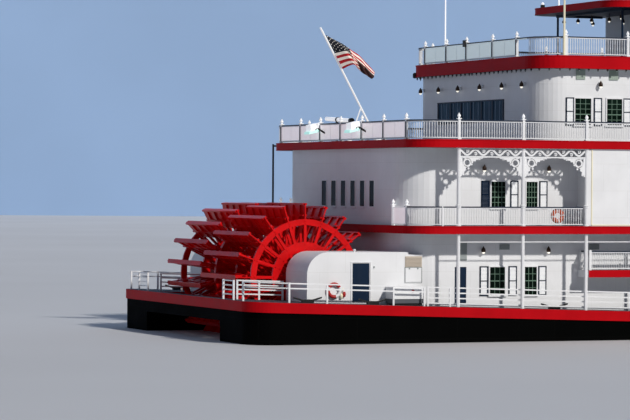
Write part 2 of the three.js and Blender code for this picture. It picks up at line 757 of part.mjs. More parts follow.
// The outer rail has two bars and starts at the stern corner, past an opening in the stern rail.
const sternRailX = sternEnd + railInset;
const cornerPoints = [
  [sternRailX, -9.55 * M], [sternRailX + 0.13 * M, -10.1 * M], [sternRailX + 0.5 * M, -10.6 * M],
  [sternRailX + 1.4 * M, railY], [-3.15 * M, railY],
];
const bowDeck = { shoulder: mainDeckShoulder, tip: bowEnd / M, half: halfBeam / M };
const aftStations = scaled([-3.15, -0.93, 3.01, 4.86]);
const columnStations = Array.from({ length: 9 }, (_, i) => firstColumn + 0.06 + i * columnPitch);
const foreStations = scaled([5.07, 6.42, ...columnStations, 42]);
const bowPoints = [[42 * M, railY], ...noseArc(bowDeck, 5, 0.9).slice(1)];
const mainRails = {
  rail_aft: bentRun(cornerPoints, outerHeights.aft, [cornerPoints[0], cornerPoints[4]])
    .add(sideGrille(aftStations, railY, outerHeights.aft)),
  rail_fore: sideGrille(foreStations, railY, outerHeights.fore).add(bentRun(bowPoints, outerHeights.fore)),
  rail_inner: sideGrille(scaled([-4.49, -3.19, -1.79]), innerRailY, pipeHeights),
  rail_stern: bentRun([[sternRailX, innerRailY], [sternRailX, -8.07 * M]], pipeHeights),
};
for (const [name, body] of Object.entries(mainRails)) {
  const rail = standOnMainDeck(body);
  add(`${name}_starboard`, rail, 'white');
  add(`${name}_port`, mirrored(rail), 'white');
}

// Mezzanine landing between the main deck and the second level, with its rail

function makeMezzanine() {
  const x0 = 15 * M;
  const x1 = 27.2 * M;
  const outer = -10.9 * M;
  const inner = -house1.half * M - seat;
  const top = waterline + 3.95 * M;
  const slab = box(x0, x1, outer, inner, top - 0.4 * M, top);
  const y = outer + 0.15 * M;
  const [aft, fore] = [x0 + 0.15 * M, x1 - 0.15 * M];
  const ends = [[aft, inner - 0.15 * M], [fore, inner - 0.15 * M]];
  const row = spread([aft, y], [fore, y], 5);
  const path = [ends[0], row[0], row[4], ends[1]];
  return slab.add(balustrade(path, [...row, ...ends], top - 2 * seat));
}
const mezzanine = makeMezzanine();
add('mezzanine_starboard', mezzanine, 'red');
add('mezzanine_port', mirrored(mezzanine), 'red');

// Canopy posts on deck 4, joined under the roof by a beam

const canopyPosts = { x: 20.54, across: 4.24, beamEnd: 23.6 };

function makeCanopyFrame() {
  const z0 = deckTop('deck_4') + seat;
  const z1 = deckUnder('canopy_roof') - seat;
  const side = canopyPosts.across * M;
  const beam = 0.08 * M;
  const x = canopyPosts.x * M;
  const parts = [box(x - beam, x + beam, -side - beam, side + beam, z1 - 0.14 * M, z1)];
  for (const y of [-side, side]) {
    parts.push(bar([x, y, z0], [x, y, z1 - 0.05 * M], 0.07 * M, 8));
    parts.push(box(x, canopyPosts.beamEnd * M, y - 0.9 * beam, y + 0.9 * beam, z1 - 0.12 * M, z1));
  }
  return union(parts);
}
add('canopy_frame', makeCanopyFrame(), 'navy');

// Pilothouse: hollow, with its window band cut on all four sides

const pilot = { x0: 33.5, x1: 38, half: 2.4, height: 2.9, skin: 0.12, sill: 1.0, head: 2.4 };

function makePilothouse() {
  const z0 = deckTop('canopy_roof') + seat;
  const z1 = z0 + pilot.height * M;
  const s = pilot.skin * M;
  const [x0, x1, h] = [pilot.x0 * M, pilot.x1 * M, pilot.half * M];
  let body = box(x0, x1, -h, h, z0, z1).subtract(box(x0 + s, x1 - s, -h + s, h - s, z0 - M, z1 + M));
  const sill = z0 + pilot.sill * M;
  const head = z0 + pilot.head * M;
  const post = 0.16 * M;
  const panes = 3;
  const along = (x1 - x0 - 2 * s - (panes - 1) * post) / panes;
  const across = (2 * h - 2 * s - (panes - 1) * post) / panes;
  for (let i = 0; i < panes; i += 1) {
    const x = x0 + s + i * (along + post);
    const y = -h + s + i * (across + post);
    body = body.subtract(box(x, x + along, -h - M, h + M, sill, head));
    body = body.subtract(box(x0 - M, x1 + M, y, y + across, sill, head));
  }
  return body;
}

function makePilotRoof() {
  const z0 = deckTop('canopy_roof') + pilot.height * M + 2 * seat;
  const eave = 0.5;
  const half = (pilot.half + eave) * M;
  const low = box((pilot.x0 - eave) * M, (pilot.x1 + eave) * M, -half, half, z0, z0 + 0.2 * M);
  const dome = new THREE.CylinderGeometry(1.2 * M, 3.2 * M, 0.55 * M, 4);
  dome.rotateY(Math.PI / 4);
  dome.rotateX(Math.PI / 2);
  dome.translate(((pilot.x0 + pilot.x1) / 2) * M, 0, z0 + 0.2 * M + 0.27 * M);
  return low.add(solid(dome));
}
add('pilothouse', makePilothouse(), 'white');
add('pilothouse_roof', makePilotRoof(), 'red');

// Chimneys with flared crowns, on the fourth deck ahead of the roof

const chimneyX = 44.6 * M;
const chimneyY = 3.4 * M;
const tieHeight = 7.5 * M;
const lugLength = 0.2 * M;

function makeChimney(y) {
  const x = chimneyX;
  const z0 = deckTop('deck_4') + seat;
  const r = 0.55 * M;
  // Radius and height above the deck, in real metres, from the foot up and down into the flue.
  const stack = [[0, 0], [0.75, 0], [0.75, 0.4], [0.55, 0.6], [0.55, 9.2], [0.68, 9.35]];
  const crown = [[0.6, 9.5], [0.62, 10.0], [1.0, 10.9]];
  const flue = [[0.92, 10.9], [0.5, 10.0], [0.47, 9.0], [0, 9.0]];
  const points = [...stack, ...crown, ...flue].map(([a, b]) => new THREE.Vector2(a * M, b * M));
  const geometry = new THREE.LatheGeometry(points, 16);
  geometry.rotateX(Math.PI / 2);
  geometry.translate(x, y, z0);
  const body = solid(geometry);
  // The tie between the two chimneys meets this one at a lug.
  const z = z0 + tieHeight;
  const end = y - Math.sign(y) * (r + lugLength);
  const lugHalf = 0.12 * M;
  const [y0, y1] = [Math.min(y, end), Math.max(y, end)];
  const lug = box(x - lugHalf, x + lugHalf, y0, y1, z - lugHalf, z + lugHalf);
  return body.add(lug);
}
add('chimney_starboard', makeChimney(-chimneyY), 'black');
add('chimney_port', makeChimney(chimneyY), 'black');

function makeChimneyTie() {
  const end = chimneyY - 0.55 * M - lugLength - seat;
  const z = deckTop('deck_4') + seat + tieHeight;
  return box(chimneyX - 0.05 * M, chimneyX + 0.05 * M, -end, end, z - 0.06 * M, z + 0.06 * M);
}
add('chimney_tie', makeChimneyTie(), 'gold');

// Raked flagstaff at the stern, with its flag

const staffFoot = new THREE.Vector3(6.7 * M, 0, deckTop('deck_3') + seat);
const staffTip = new THREE.Vector3(3.0 * M, 0, waterline + 17.85 * M);
const staffRadius = 0.06 * M;
const staffLine = (t) => staffFoot.clone().lerp(staffTip, t).toArray();

function makeFlagstaff() {
  const { x, z } = staffFoot;
  const foot = box(x - 0.2 * M, x + 0.2 * M, -0.2 * M, 0.2 * M, z, z + 0.3 * M);
  const brace = bar([4.9 * M, 0, z + 0.02 * M], staffLine(0.3), 0.04 * M, 6);
  const braceFoot = box(4.8 * M, 5.0 * M, -0.1 * M, 0.1 * M, z, z + 0.1 * M);
  const pole = bar(staffLine(0.02), staffTip.toArray(), staffRadius, 16);
  return union([foot, brace, braceFoot, pole]);
}
add('flagstaff', makeFlagstaff(), 'white');

// The flag droops forward from its hoist on the raked pole. Rows run out along the fly, in real
// metres with heights above the water; each has a point on the upper edge, the middle and the lower.
const flagRows = [
  [[4.13, 0.02, 17.06], [4.29, -0.96, 16.5], [4.94, -0.46, 15.72]],
  [[4.89, 0.1, 16.67], [4.9, -0.56, 16.01], [5.51, 0.28, 15.49]],
  [[5.6, 0.35, 16.29], [5.63, 0.12, 15.7], [6.17, 1.09, 15.3]],
  [[6.25, 0.68, 15.85], [6.27, 0.67, 15.38], [6.73, 1.67, 15.12]],
  [[6.9, 1.01, 15.34], [6.85, 1.03, 15.07], [7.2, 2.08, 15.0]],
];
const hoistEnds = [0.93, 0.633];     // where the hoist's ends lie along the pole
const clothHalf = 0.02 * M;

function makeFlag() {
  const along = staffTip.clone().sub(staffFoot).normalize();
  const clear = staffRadius + seat;
  const hoist = [0, 0.5, 1].map((share) => {
    const [x, y, z] = staffLine(hoistEnds[0] + (hoistEnds[1] - hoistEnds[0]) * share);
    return [x + along.z * clear, y, z - along.x * clear];
  });
  // Each row has its own thickness direction: across the pole at the hoist, then mostly upright.
  const pair = ([x, y, z], [u, v, w]) => [
    [x + u * clothHalf, y + v * clothHalf, z + w * clothHalf],
    [x - u * clothHalf, y - v * clothHalf, z - w * clothHalf],
  ];
  const rows = [hoist.map((point) => pair(point, [0, 1, 0]))];
  for (const row of flagRows) {
    rows.push(row.map(([x, y, z]) => pair([x * M, y * M, waterline + z * M], [0.3, -0.2, 0.93])));
  }
  const panels = [];
  for (let i = 1; i < rows.length; i += 1) {
    for (let k = 1; k < 3; k += 1) {
      const corners = [...rows[i - 1][k - 1], ...rows[i - 1][k], ...rows[i][k - 1], ...rows[i][k]];
      panels.push(wasm.Manifold.hull(corners));
    }
  }
  return union(panels);
}
add('flag', makeFlag(), 'cloth');

// Bow gear: capstan, and the jackstaff at the stem

const capstanX = 49 * M;
const capstanZ = mainDeckTop(capstanX / M);
const capstanFoot = 0.12;

function makeCapstan() {
  const foot = [[0, capstanFoot], [0.45, capstanFoot], [0.45, 0.25], [0.26, 0.4]];
  const profile = [...foot, [0.24, 0.75], [0.4, 0.95], [0.4, 1.1], [0, 1.1]];
  const geometry = new THREE.LatheGeometry(profile.map(([a, b]) => new THREE.Vector2(a * M, b * M)), 16);
  geometry.rotateX(Math.PI / 2);
  geometry.translate(capstanX, 0, capstanZ + 2 * seat);
  return solid(geometry);
}
add('capstan', makeCapstan(), 'black');
const capstanBase = bar([capstanX, 0, waterline], [capstanX, 0, capstanZ + capstanFoot * M], 0.6 * M, 16);
add('capstan_base', standOnMainDeck(capstanBase), 'black');
const jackstaff = bar([56.5 * M, 0, waterline], [56.5 * M, 0, waterline + 8.5 * M], 0.08 * M, 8);
add('jackstaff', standOnMainDeck(jackstaff), 'white');

export default boat;
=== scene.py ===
from math import atan2, cos, pi, radians, sin, tau
from types import SimpleNamespace

import bmesh
import bpy
import numpy as np
from mathutils import Matrix, Vector


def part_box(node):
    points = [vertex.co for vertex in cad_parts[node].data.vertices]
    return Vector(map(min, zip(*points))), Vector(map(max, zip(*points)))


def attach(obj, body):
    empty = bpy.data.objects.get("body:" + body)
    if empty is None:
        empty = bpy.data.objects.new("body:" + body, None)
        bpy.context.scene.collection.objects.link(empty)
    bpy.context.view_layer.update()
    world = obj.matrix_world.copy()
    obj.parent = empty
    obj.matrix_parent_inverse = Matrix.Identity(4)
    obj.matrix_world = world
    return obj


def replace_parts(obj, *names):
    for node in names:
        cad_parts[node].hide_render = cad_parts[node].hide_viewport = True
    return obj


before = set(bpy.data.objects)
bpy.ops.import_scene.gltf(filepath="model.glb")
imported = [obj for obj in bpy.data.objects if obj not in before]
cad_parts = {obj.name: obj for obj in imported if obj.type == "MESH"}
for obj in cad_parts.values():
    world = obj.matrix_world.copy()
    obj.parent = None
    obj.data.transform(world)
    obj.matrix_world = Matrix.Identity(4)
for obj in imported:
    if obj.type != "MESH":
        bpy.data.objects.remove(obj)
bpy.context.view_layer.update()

# Sizes here are in metres of the real boat: X runs forward from the paddlewheel's station,
# Y to port and Z up from the water. The model stands at half of that size.
HALF = 0.5
WATER = 1.1
STATION = (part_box("paddlewheel")[0].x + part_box("paddlewheel")[1].x) / 2 + 0.1
OFFSET = np.array([STATION, 0.0, WATER])


def real_box(node):
    """The box of a CAD node in real metres."""
    low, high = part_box(node)
    return (np.array(low) - OFFSET) / HALF, (np.array(high) - OFFSET) / HALF


def deck_of(node, corner, shoulder):
    """A deck's or a house's outline, with the two values that its box doesn't give."""
    low, high = real_box(node)
    return SimpleNamespace(
        aft=low[0], tip=high[0], half=high[1], top=high[2], under=low[2], corner=corner, shoulder=shoulder,
    )


DECK_2 = deck_of("deck_2", 1.7, 41)
DECK_3 = deck_of("deck_3", 1.7, 40)
DECK_4 = deck_of("deck_4", 1.9, 38)
ROOF = deck_of("canopy_roof", 1.3, 40)
HOUSE_1 = deck_of("house_1", 1.6, 39)
HOUSE_2 = deck_of("house_2", 2.0, 39)
HOUSE_3 = deck_of("house_3", 1.7, 37)
TEXAS = deck_of("texas", 0.6, 38)
SIDE_WALL = 9.5
FLUSH_WALL = 11.2
WHEEL_X = -0.2
WHEEL_Z = 3.5
WHEEL_HALF = 5.85
WHEEL_TIP = 4.15
PADDLE_ROOT = 2.97
ARMS = 20
COLUMN_Y = 11.1
COLUMN_PITCH = 3.95
FIRST_COLUMN = 6.81
RAIL_INSET = 0.2
RAIL_TOP = 1.05
LANDING_TOP = 3.95
SHEER = [(-8, 2.43), (18, 1.61), (26, 1.46), (34, 1.44), (42, 1.54), (50, 1.85), (60, 2.5)]


def main_top(x):
    """Height of the main deck at a station."""
    return float(np.interp(x, *zip(*SHEER)))


# Camera, light and stage

CAMERA_AT = (-62.68, -161.91, 8.5)
CAMERA_TURN = radians(22.0)
CAMERA_DOWN = radians(0.42)
CAMERA_ROLL = 0.006
CAMERA_LENS = 171.43
SENSOR = 36.0
# Name, where it shines from, power, softness in degrees and colour.
SUNS = [
    ("key", (0.56, -1.6, 1.07), 2.75, 2.5, (1.0, 0.96, 0.9)),
    ("fill", (-1.0, 0.05, 0.3), 0.14, 70, (0.78, 0.84, 1.0)),
]
SKY = (0.56, 0.65, 0.9, 1)
SKY_STRENGTH = 0.17
STAGE_REACH = 600
# So far from the photo's camera that a camera on any side of the boat stands before it.
BACKDROP_AWAY = 440


def to_row(point):
    """A point in real metres as a point of the model."""
    return Vector(np.array(point, float) * HALF + OFFSET)


def add_object(name, data):
    made = bpy.data.objects.new(name, data)
    bpy.context.scene.collection.objects.link(made)
    return made


def make_camera():
    data = bpy.data.cameras.new("camera")
    data.lens, data.sensor_width = CAMERA_LENS, SENSOR
    data.clip_start, data.clip_end = 1, 2000
    level = cos(CAMERA_DOWN)
    ahead = Vector((sin(CAMERA_TURN) * level, cos(CAMERA_TURN) * level, -sin(CAMERA_DOWN)))
    aim = ahead.to_track_quat("-Z", "Y").to_matrix().to_4x4()
    camera = add_object("camera", data)
    camera.matrix_world = Matrix.Translation(to_row(CAMERA_AT)) @ aim @ Matrix.Rotation(CAMERA_ROLL, 4, "Z")
    bpy.context.scene.camera = camera


def make_lights():
    for name, origin, power, softness, colour in SUNS:
        data = bpy.data.lights.new(name, "SUN")
        data.energy, data.color, data.angle = power, colour, radians(softness)
        sun = add_object(name, data)
        sun.rotation_mode = "QUATERNION"
        sun.rotation_quaternion = (-Vector(origin)).to_track_quat("-Z", "Y")
    world = bpy.data.worlds.new("studio")
    world.use_nodes = True
    wire(world.node_tree, world.node_tree.nodes["Background"], Color=SKY, Strength=SKY_STRENGTH)
    bpy.context.scene.world = world
    bpy.context.scene.view_settings.view_transform = "Standard"


def stage_plane(name, corners):
    mesh = bpy.data.meshes.new(name)
    mesh.from_pydata(corners, [], [(0, 1, 2, 3)])
    mesh.materials.append(M[name])
    return add_object(name, mesh)


def make_stage():
    """A floor at the waterline, and a backdrop at right angles to the camera's view."""
    far = STAGE_REACH
    floor = stage_plane("floor", [(-far, -far, WATER), (far, -far, WATER), (far, far, WATER), (-far, far, WATER)])
    ahead = np.array([sin(CAMERA_TURN), cos(CAMERA_TURN)])
    across = np.array([ahead[1], -ahead[0]])
    middle = np.array(to_row(CAMERA_AT))[:2] + ahead * BACKDROP_AWAY
    a, b = middle - across * far, middle + across * far
    backdrop = stage_plane("backdrop", [(*a, 0), (*b, 0), (*b, far), (*a, far)])


# Materials


def wire(tree, target, **inputs):
    """Sets the inputs of a node: a socket is linked, and anything else is a plain value."""
    for key, value in inputs.items():
        entry = target.inputs[key.replace("_", " ")]
        if isinstance(value, bpy.types.NodeSocket):
            tree.links.new(value, entry)
        else:
            entry.default_value = value
    return target


def node(tree, kind, **inputs):
    return wire(tree, tree.nodes.new(kind), **inputs)


def new_material(name, colour, rough, glow=0.0):
    material = bpy.data.materials.new(name)
    material.use_nodes = True
    tree = material.node_tree
    shader = wire(tree, tree.nodes["Principled BSDF"], Base_Color=(*colour, 1), Roughness=rough)
    if glow:
        wire(tree, shader, Emission_Color=(*colour, 1), Emission_Strength=glow)
    return material, tree, shader


def stretched(tree, scale):
    """Object coordinates, stretched along each axis."""
    place = node(tree, "ShaderNodeTexCoord").outputs["Object"]
    return node(tree, "ShaderNodeMapping", Scale=scale, Vector=place).outputs["Vector"]


def noise(tree, scale, detail=4.0, stretch=(1, 1, 1)):
    place = stretched(tree, stretch)
    return node(tree, "ShaderNodeTexNoise", Scale=scale, Detail=detail, Vector=place).outputs["Fac"]


def ramp(tree, source, low, high, start=0.35, end=0.7):
    """A mix of two colours by a value."""
    made = node(tree, "ShaderNodeValToRGB", Fac=source)
    for element, place, colour in zip(made.color_ramp.elements, (start, end), (low, high)):
        element.position = place
        element.color = (*colour, 1)
    return made.outputs["Color"]


def tinted(tree, shader, source, low, high, start=0.35, end=0.7):
    """A base colour that goes from one tone to another with a value."""
    wire(tree, shader, Base_Color=ramp(tree, source, low, high, start, end))


def mixed(tree, amount, a, b):
    """A colour socket mixed with a plain colour."""
    made = node(tree, "ShaderNodeMix")
    made.data_type = "RGBA"
    tree.links.new(amount, made.inputs[0])
    tree.links.new(a, made.inputs[6])
    made.inputs[7].default_value = (*b, 1)
    return made.outputs[2]


def bump(tree, shader, heights):
    """Bump from one or more values, each with its strength and depth in metres."""
    normal = None
    for source, strength, distance in heights:
        made = node(tree, "ShaderNodeBump", Strength=strength, Distance=distance, Height=source)
        if normal:
            wire(tree, made, Normal=normal)
        normal = made.outputs["Normal"]
    wire(tree, shader, Normal=normal)


def plate_seams(tree, width, height, gap):
    """Welded plates: the seams run up the walls and round the corners."""
    split = node(tree, "ShaderNodeSeparateXYZ", Vector=node(tree, "ShaderNodeTexCoord").outputs["Object"])
    along = node(tree, "ShaderNodeMath")
    along.operation = "SUBTRACT"
    for i in (0, 1):
        tree.links.new(split.outputs[i], along.inputs[i])
    place = node(tree, "ShaderNodeCombineXYZ", X=along.outputs[0], Y=split.outputs[2]).outputs[0]
    bricks = node(
        tree, "ShaderNodeTexBrick", Scale=1.0, Mortar_Size=gap, Mortar_Smooth=0.6,
        Brick_Width=width, Row_Height=height, Vector=place,
    )
    bricks.offset = 0.5
    return bricks.outputs["Fac"]


STAIN = (0.3, 0.27, 0.22)


def paint(name, colour, rough=0.4, worn=0.85, coat=0.0, seams=None, streaks=0.06, stain=STAIN, gloss=0.35, glow=0.0):
    """Brushed marine paint: uneven colour, rain streaks, a fine skin and, on plates, weld seams."""
    material, tree, shader = new_material(name, colour, rough, glow)
    patches = noise(tree, 1.3, 6)
    tone = ramp(tree, patches, [c * worn for c in colour], colour)
    runs = noise(tree, 3.0, 3, (2.2, 2.2, 0.16))
    tone = mixed(tree, ramp(tree, runs, (0, 0, 0), (streaks,) * 3, 0.5, 0.8), tone, stain)
    heights = [(patches, 0.25, 0.01), (noise(tree, 60.0, 2), 0.12, 0.002)]
    if seams:
        lines = plate_seams(tree, *seams)
        tone = mixed(tree, ramp(tree, lines, (0, 0, 0), (0.16,) * 3, 0.1, 0.9), tone, stain)
        heights.append((lines, 0.3, 0.008))
    level = node(tree, "ShaderNodeMapRange", Value=patches, To_Min=rough * 0.85, To_Max=min(rough * 1.25, 1.0))
    wire(tree, shader, Base_Color=tone, Roughness=level.outputs[0], Coat_Weight=coat, Specular_IOR_Level=gloss)
    bump(tree, shader, heights)
    return material


def walking_surface(name, colour):
    """Grey deck paint with grit, scuffs and damp patches."""
    material, tree, shader = new_material(name, colour, 0.75)
    scuffs = noise(tree, 2.2, 8)
    tinted(tree, shader, scuffs, [c * 0.6 for c in colour], [c * 1.25 for c in colour])
    bump(tree, shader, [(scuffs, 0.2, 0.006), (noise(tree, 160.0, 2), 0.5, 0.003)])
    return material


def cloth(name, colour, glow=0.0):
    """Woven flag cloth, with its threads as bump, and a painted glow for the light that comes through."""
    material, tree, shader = new_material(name, colour, 0.85, glow)
    tinted(tree, shader, noise(tree, 5.0, 4), [c * 0.8 for c in colour], colour)
    threads = node(tree, "ShaderNodeTexWave", Scale=130.0, Distortion=0.6, Vector=stretched(tree, (1, 1, 1)))
    bump(tree, shader, [(threads.outputs["Fac"], 0.2, 0.001)])
    wire(tree, shader, Sheen_Weight=0.05)
    return material


def dark_glass(name, colour, painted_light_tone):
    """Tinted panes; noise blotches that run from the dark tone to a lighter one are painted light, a soft image of what
    lies behind.
    """
    material, tree, shader = new_material(name, colour, 0.2)
    tinted(tree, shader, noise(tree, 1.6, 3, (1, 1, 0.5)), colour, painted_light_tone, 0.45, 0.75)
    bump(tree, shader, [(noise(tree, 3.0, 2), 0.06, 0.01)])
    wire(tree, shader, Specular_IOR_Level=0.05)
    return material


def lamp_white(name):
    """Milky glass with light in it."""
    material, tree, shader = new_material(name, (0.95, 0.93, 0.86), 0.2)
    tinted(tree, shader, noise(tree, 30.0, 2), (0.85, 0.8, 0.66), (1.0, 0.97, 0.9))
    wire(tree, shader, Emission_Color=(1.0, 0.95, 0.82, 1), Emission_Strength=0.9)
    return material


def pale_sheet(name, colour):
    """Plain matt paper for the floor and the backdrop."""
    material, tree, shader = new_material(name, colour, 0.9)
    tinted(tree, shader, noise(tree, 0.05, 2), [c * 0.97 for c in colour], [c * 1.03 for c in colour])
    return material


M = {
    "hull": paint(
        "hull_black", (0.0014, 0.0016, 0.0016), 0.7, 0.6, seams=(3.0, 0.6, 0.012), streaks=0.01,
        stain=(0.01, 0.009, 0.008), gloss=0.02,
    ),
    "red": paint("edge_red", (0.52, 0.003, 0.008), 0.42, 0.85, streaks=0.03, stain=(0.2, 0.0, 0.0), gloss=0.05),
    "wheel": paint(
        "wheel_red", (0.78, 0.002, 0.004), 0.32, 0.7, coat=0.06, streaks=0.1, stain=(0.12, 0.0, 0.0), gloss=0.16,
    ),
    "deck": walking_surface("deck_grey", (0.045, 0.055, 0.075)),
    # Blue deckhead paint, kept dark as painted shade under the decks.
    "deckhead_and_shade": paint("deckhead_painted_shade", (0.1, 0.11, 0.13), 0.5, 0.9),
    "roof_under": paint("roof_under_blue", (0.012, 0.02, 0.075), 0.5, 0.8),
    "white": paint("wall_white", (0.86, 0.87, 0.89), 0.42, 0.93, seams=(1.52, 0.76, 0.006), streaks=0.04),
    "trim": paint("trim_white", (0.88, 0.89, 0.91), 0.36, 0.93, streaks=0.03),
    # Panels glow: painted light for the sun that shines through them from the far side.
    "panel": paint("panel_pink_white_painted_glow", (0.87, 0.8, 0.83), 0.3, 0.94, streaks=0.03, glow=0.42),
    "panel_cool": paint("panel_cool_white_painted_glow", (0.72, 0.83, 0.85), 0.3, 0.94, streaks=0.03, glow=0.32),
    # Glows a little: a painted highlight that keeps shutter slats, finials and the flagstaff brighter than the walls.
    "slat": paint("slat_white_painted_glow", (0.9, 0.91, 0.92), 0.4, 0.96, streaks=0.02, glow=0.22),
    # Glows strongly: painted light that keeps the canister, floodlight cases and poles bright on their shaded sides.
    "bright": paint("bright_white_painted_glow", (0.92, 0.93, 0.95), 0.35, 0.97, streaks=0.02, glow=0.5),
    "cap": paint("rail_cap_navy", (0.02, 0.032, 0.06), 0.35, 0.8),
    "navy": paint("navy", (0.006, 0.02, 0.05), 0.36, 0.8, streaks=0.03, gloss=0.15),
    "black": paint("fitting_black", (0.01, 0.012, 0.012), 0.35, 0.7),
    "muntin": paint("muntin_green", (0.16, 0.27, 0.2), 0.45, 0.85),
    # The lighter tones of the panes are painted light.
    "glass": dark_glass("window_glass", (0.002, 0.006, 0.004), (0.008, 0.02, 0.014)),
    "glass_stern": dark_glass("stern_glass", (0.002, 0.003, 0.007), (0.008, 0.01, 0.018)),
    "glass_band": dark_glass("band_glass", (0.015, 0.05, 0.09), (0.04, 0.1, 0.16)),
    "band_line": paint("band_line_blue", (0.12, 0.2, 0.3), 0.4, 0.85),
    "brass": paint("lamp_bronze", (0.05, 0.022, 0.01), 0.35, 0.6),
    "lamp": lamp_white("lamp_glass"),
    "lens": paint("lens_green", (0.5, 0.86, 0.78), 0.2, 0.95, glow=0.6),
    "steel": paint("machine_grey", (0.28, 0.29, 0.3), 0.4, 0.8, seams=(0.5, 0.4, 0.008)),
    # Glows a little: painted light on the cream pole, wall strips and floats.
    "cream_painted_glow": paint("cream_painted_glow", (0.84, 0.78, 0.58), 0.45, 0.94, streaks=0.04, glow=0.12),
    "vent": paint("vent_green", (0.4, 0.48, 0.42), 0.5, 0.88),
    "tan": paint("louvre_tan", (0.56, 0.49, 0.41), 0.5, 0.9, streaks=0.08),
    "grey": paint("box_grey", (0.32, 0.36, 0.36), 0.5, 0.85),
    "buoy": paint("buoy_orange", (0.72, 0.12, 0.02), 0.5, 0.85),
    "buoy_red": paint("buoy_red", (0.5, 0.02, 0.02), 0.5, 0.85),
    "gold": paint("gold", (0.55, 0.36, 0.1), 0.3, 0.85),
    # The single cloth glows: painted light for the sun that shines through it.
    "cloth_red": cloth("cloth_red", (0.6, 0.012, 0.02), 0.16),
    "cloth_white": cloth("cloth_white", (0.95, 0.88, 0.78), 0.3),
    # Dark copies of the cloths: painted shade where the fly folds under itself.
    "fold_red_painted_shade": cloth("fold_red_painted_shade", (0.22, 0.008, 0.01)),
    "fold_white_painted_shade": cloth("fold_white_painted_shade", (0.2, 0.15, 0.13)),
    "cloth_blue": cloth("cloth_blue", (0.006, 0.009, 0.02)),
    "floor": pale_sheet("floor", (0.62, 0.63, 0.65)),
    "backdrop": pale_sheet("backdrop", (0.33, 0.48, 0.72)),
}


# Mesh building


class Shape:
    """Points and faces collected in real metres; a face's mark is its material's place in the list."""

    def __init__(self):
        self.points, self.faces, self.marks = [], [], []

    def add(self, points, faces, mark=0):
        start = len(self.points)
        self.points += [tuple(p) for p in points]
        self.faces += [tuple(start + i for i in face) for face in faces]
        self.marks += [mark] * len(faces)
        return self

    def tube(self, points, sides, mark=0):
        """Rings of points, one after the other, joined up and closed at both ends."""
        last = len(points) - sides
        faces = [tuple(range(sides))[::-1]]
        for start in range(0, last, sides):
            for k in range(sides):
                a, b = start + k, start + (k + 1) % sides
                faces.append((a, b, b + sides, a + sides))
        faces.append(tuple(range(last, last + sides)))
        return self.add(points, faces, mark)

    def box(self, x, y, z, mark=0):
        plan = [(x[0], y[0]), (x[1], y[0]), (x[1], y[1]), (x[0], y[1])]
        return self.tube([(*p, h) for h in z for p in plan], 4, mark)

    def post(self, x, y, half, z, mark=0):
        """A square post round a point of the plan."""
        return self.box((x - half, x + half), (y - half, y + half), z, mark)

    def rod(self, a, b, radius, sides=8, end=None, mark=0):
        """A round bar between two points; it may taper."""
        line = Vector(b) - Vector(a)
        profile = [(radius, 0.0), (radius if end is None else end, line.length)]
        return self.turned(a, profile, sides, line.to_track_quat("Z", "Y"), mark)

    def turned(self, base, profile, sides=10, turn=None, mark=0):
        """A profile of (radius, height) turned about an axis that starts at the base."""
        points = []
        for radius, height in profile:
            for k in range(sides):
                angle = tau * (k + 0.5) / sides
                point = Vector((radius * cos(angle), radius * sin(angle), height))
                points.append(Vector(base) + (turn @ point if turn else point))
        return self.tube(points, sides, mark)

    def plate(self, outline, y):
        """An outline in X and Z, as a plate that stands across Y."""
        return self.tube([(x, side, z) for side in y for x, z in outline], len(outline))

    def strip(self, path, width, z):
        """A flat bar that follows points of a deck plan."""
        path = np.array(path, float)
        rings = []
        for i, point in enumerate(path):
            ahead = path[min(i + 1, len(path) - 1)] - path[max(i - 1, 0)]
            side = np.array([-ahead[1], ahead[0]]) / np.linalg.norm(ahead) * width / 2
            low, high = point - side, point + side
            rings += [(*low, z[0]), (*high, z[0]), (*high, z[1]), (*low, z[1])]
        return self.tube(rings, 4)

    def put(self, other, at=(0, 0, 0), turn=0.0):
        """A copy of another shape, turned about Z and moved."""
        c, s = cos(turn), sin(turn)
        self.add([(x * c - y * s + at[0], x * s + y * c + at[1], z + at[2]) for x, y, z in other.points], other.faces)
        self.marks[-len(other.marks):] = other.marks
        return self

    def both_sides(self):
        """The same shape with its mirror image on the other side of the centreline."""
        made = Shape().add(self.points, self.faces)
        made.add([(x, -y, z) for x, y, z in self.points], [face[::-1] for face in self.faces])
        made.marks = self.marks * 2
        return made


def piece(name, shape, materials, body="boat", bevel=0.0, smooth=False):
    """A mesh piece made of a shape; a list of materials goes by the faces' marks."""
    mesh = bpy.data.meshes.new(name)
    points = np.array(shape.points) * HALF + OFFSET
    mesh.from_pydata(points.tolist(), [], shape.faces)
    for material in materials if isinstance(materials, list) else [materials]:
        mesh.materials.append(M[material])
    mesh.polygons.foreach_set("material_index", np.array(shape.marks, np.int32))
    if smooth:
        mesh.polygons.foreach_set("use_smooth", np.ones(len(mesh.polygons), bool))
    work = bmesh.new()
    work.from_mesh(mesh)
    bmesh.ops.recalc_face_normals(work, faces=work.faces)
    work.to_mesh(mesh)
    work.free()
    made = add_object(name, mesh)
    if bevel:
        edge = made.modifiers.new("edge", "BEVEL")
        edge.width = bevel * HALF
        edge.segments = 2
        edge.limit_method = "ANGLE"
    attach(made, body)
    return made


# Plans of decks


def corner_arc(deck, inset, steps=8):
    """The starboard aft corner, from the stern edge round to the side."""
    reach = deck.corner - inset
    x, y = deck.aft + deck.corner, -(deck.half - deck.corner)
    angles = [pi + i * pi / 2 / steps for i in range(steps + 1)]
    return [(x + reach * cos(a), y + reach * sin(a)) for a in angles]


def nose_arc(deck, inset, steps=24, stop=1.0):
    """The starboard half of the round front."""
    reach, across = deck.tip - deck.shoulder - inset, deck.half - inset
    angles = [-pi / 2 + i * stop * pi / 2 / steps for i in range(steps + 1)]
    return [(deck.shoulder + reach * cos(a), across * sin(a)) for a in angles]


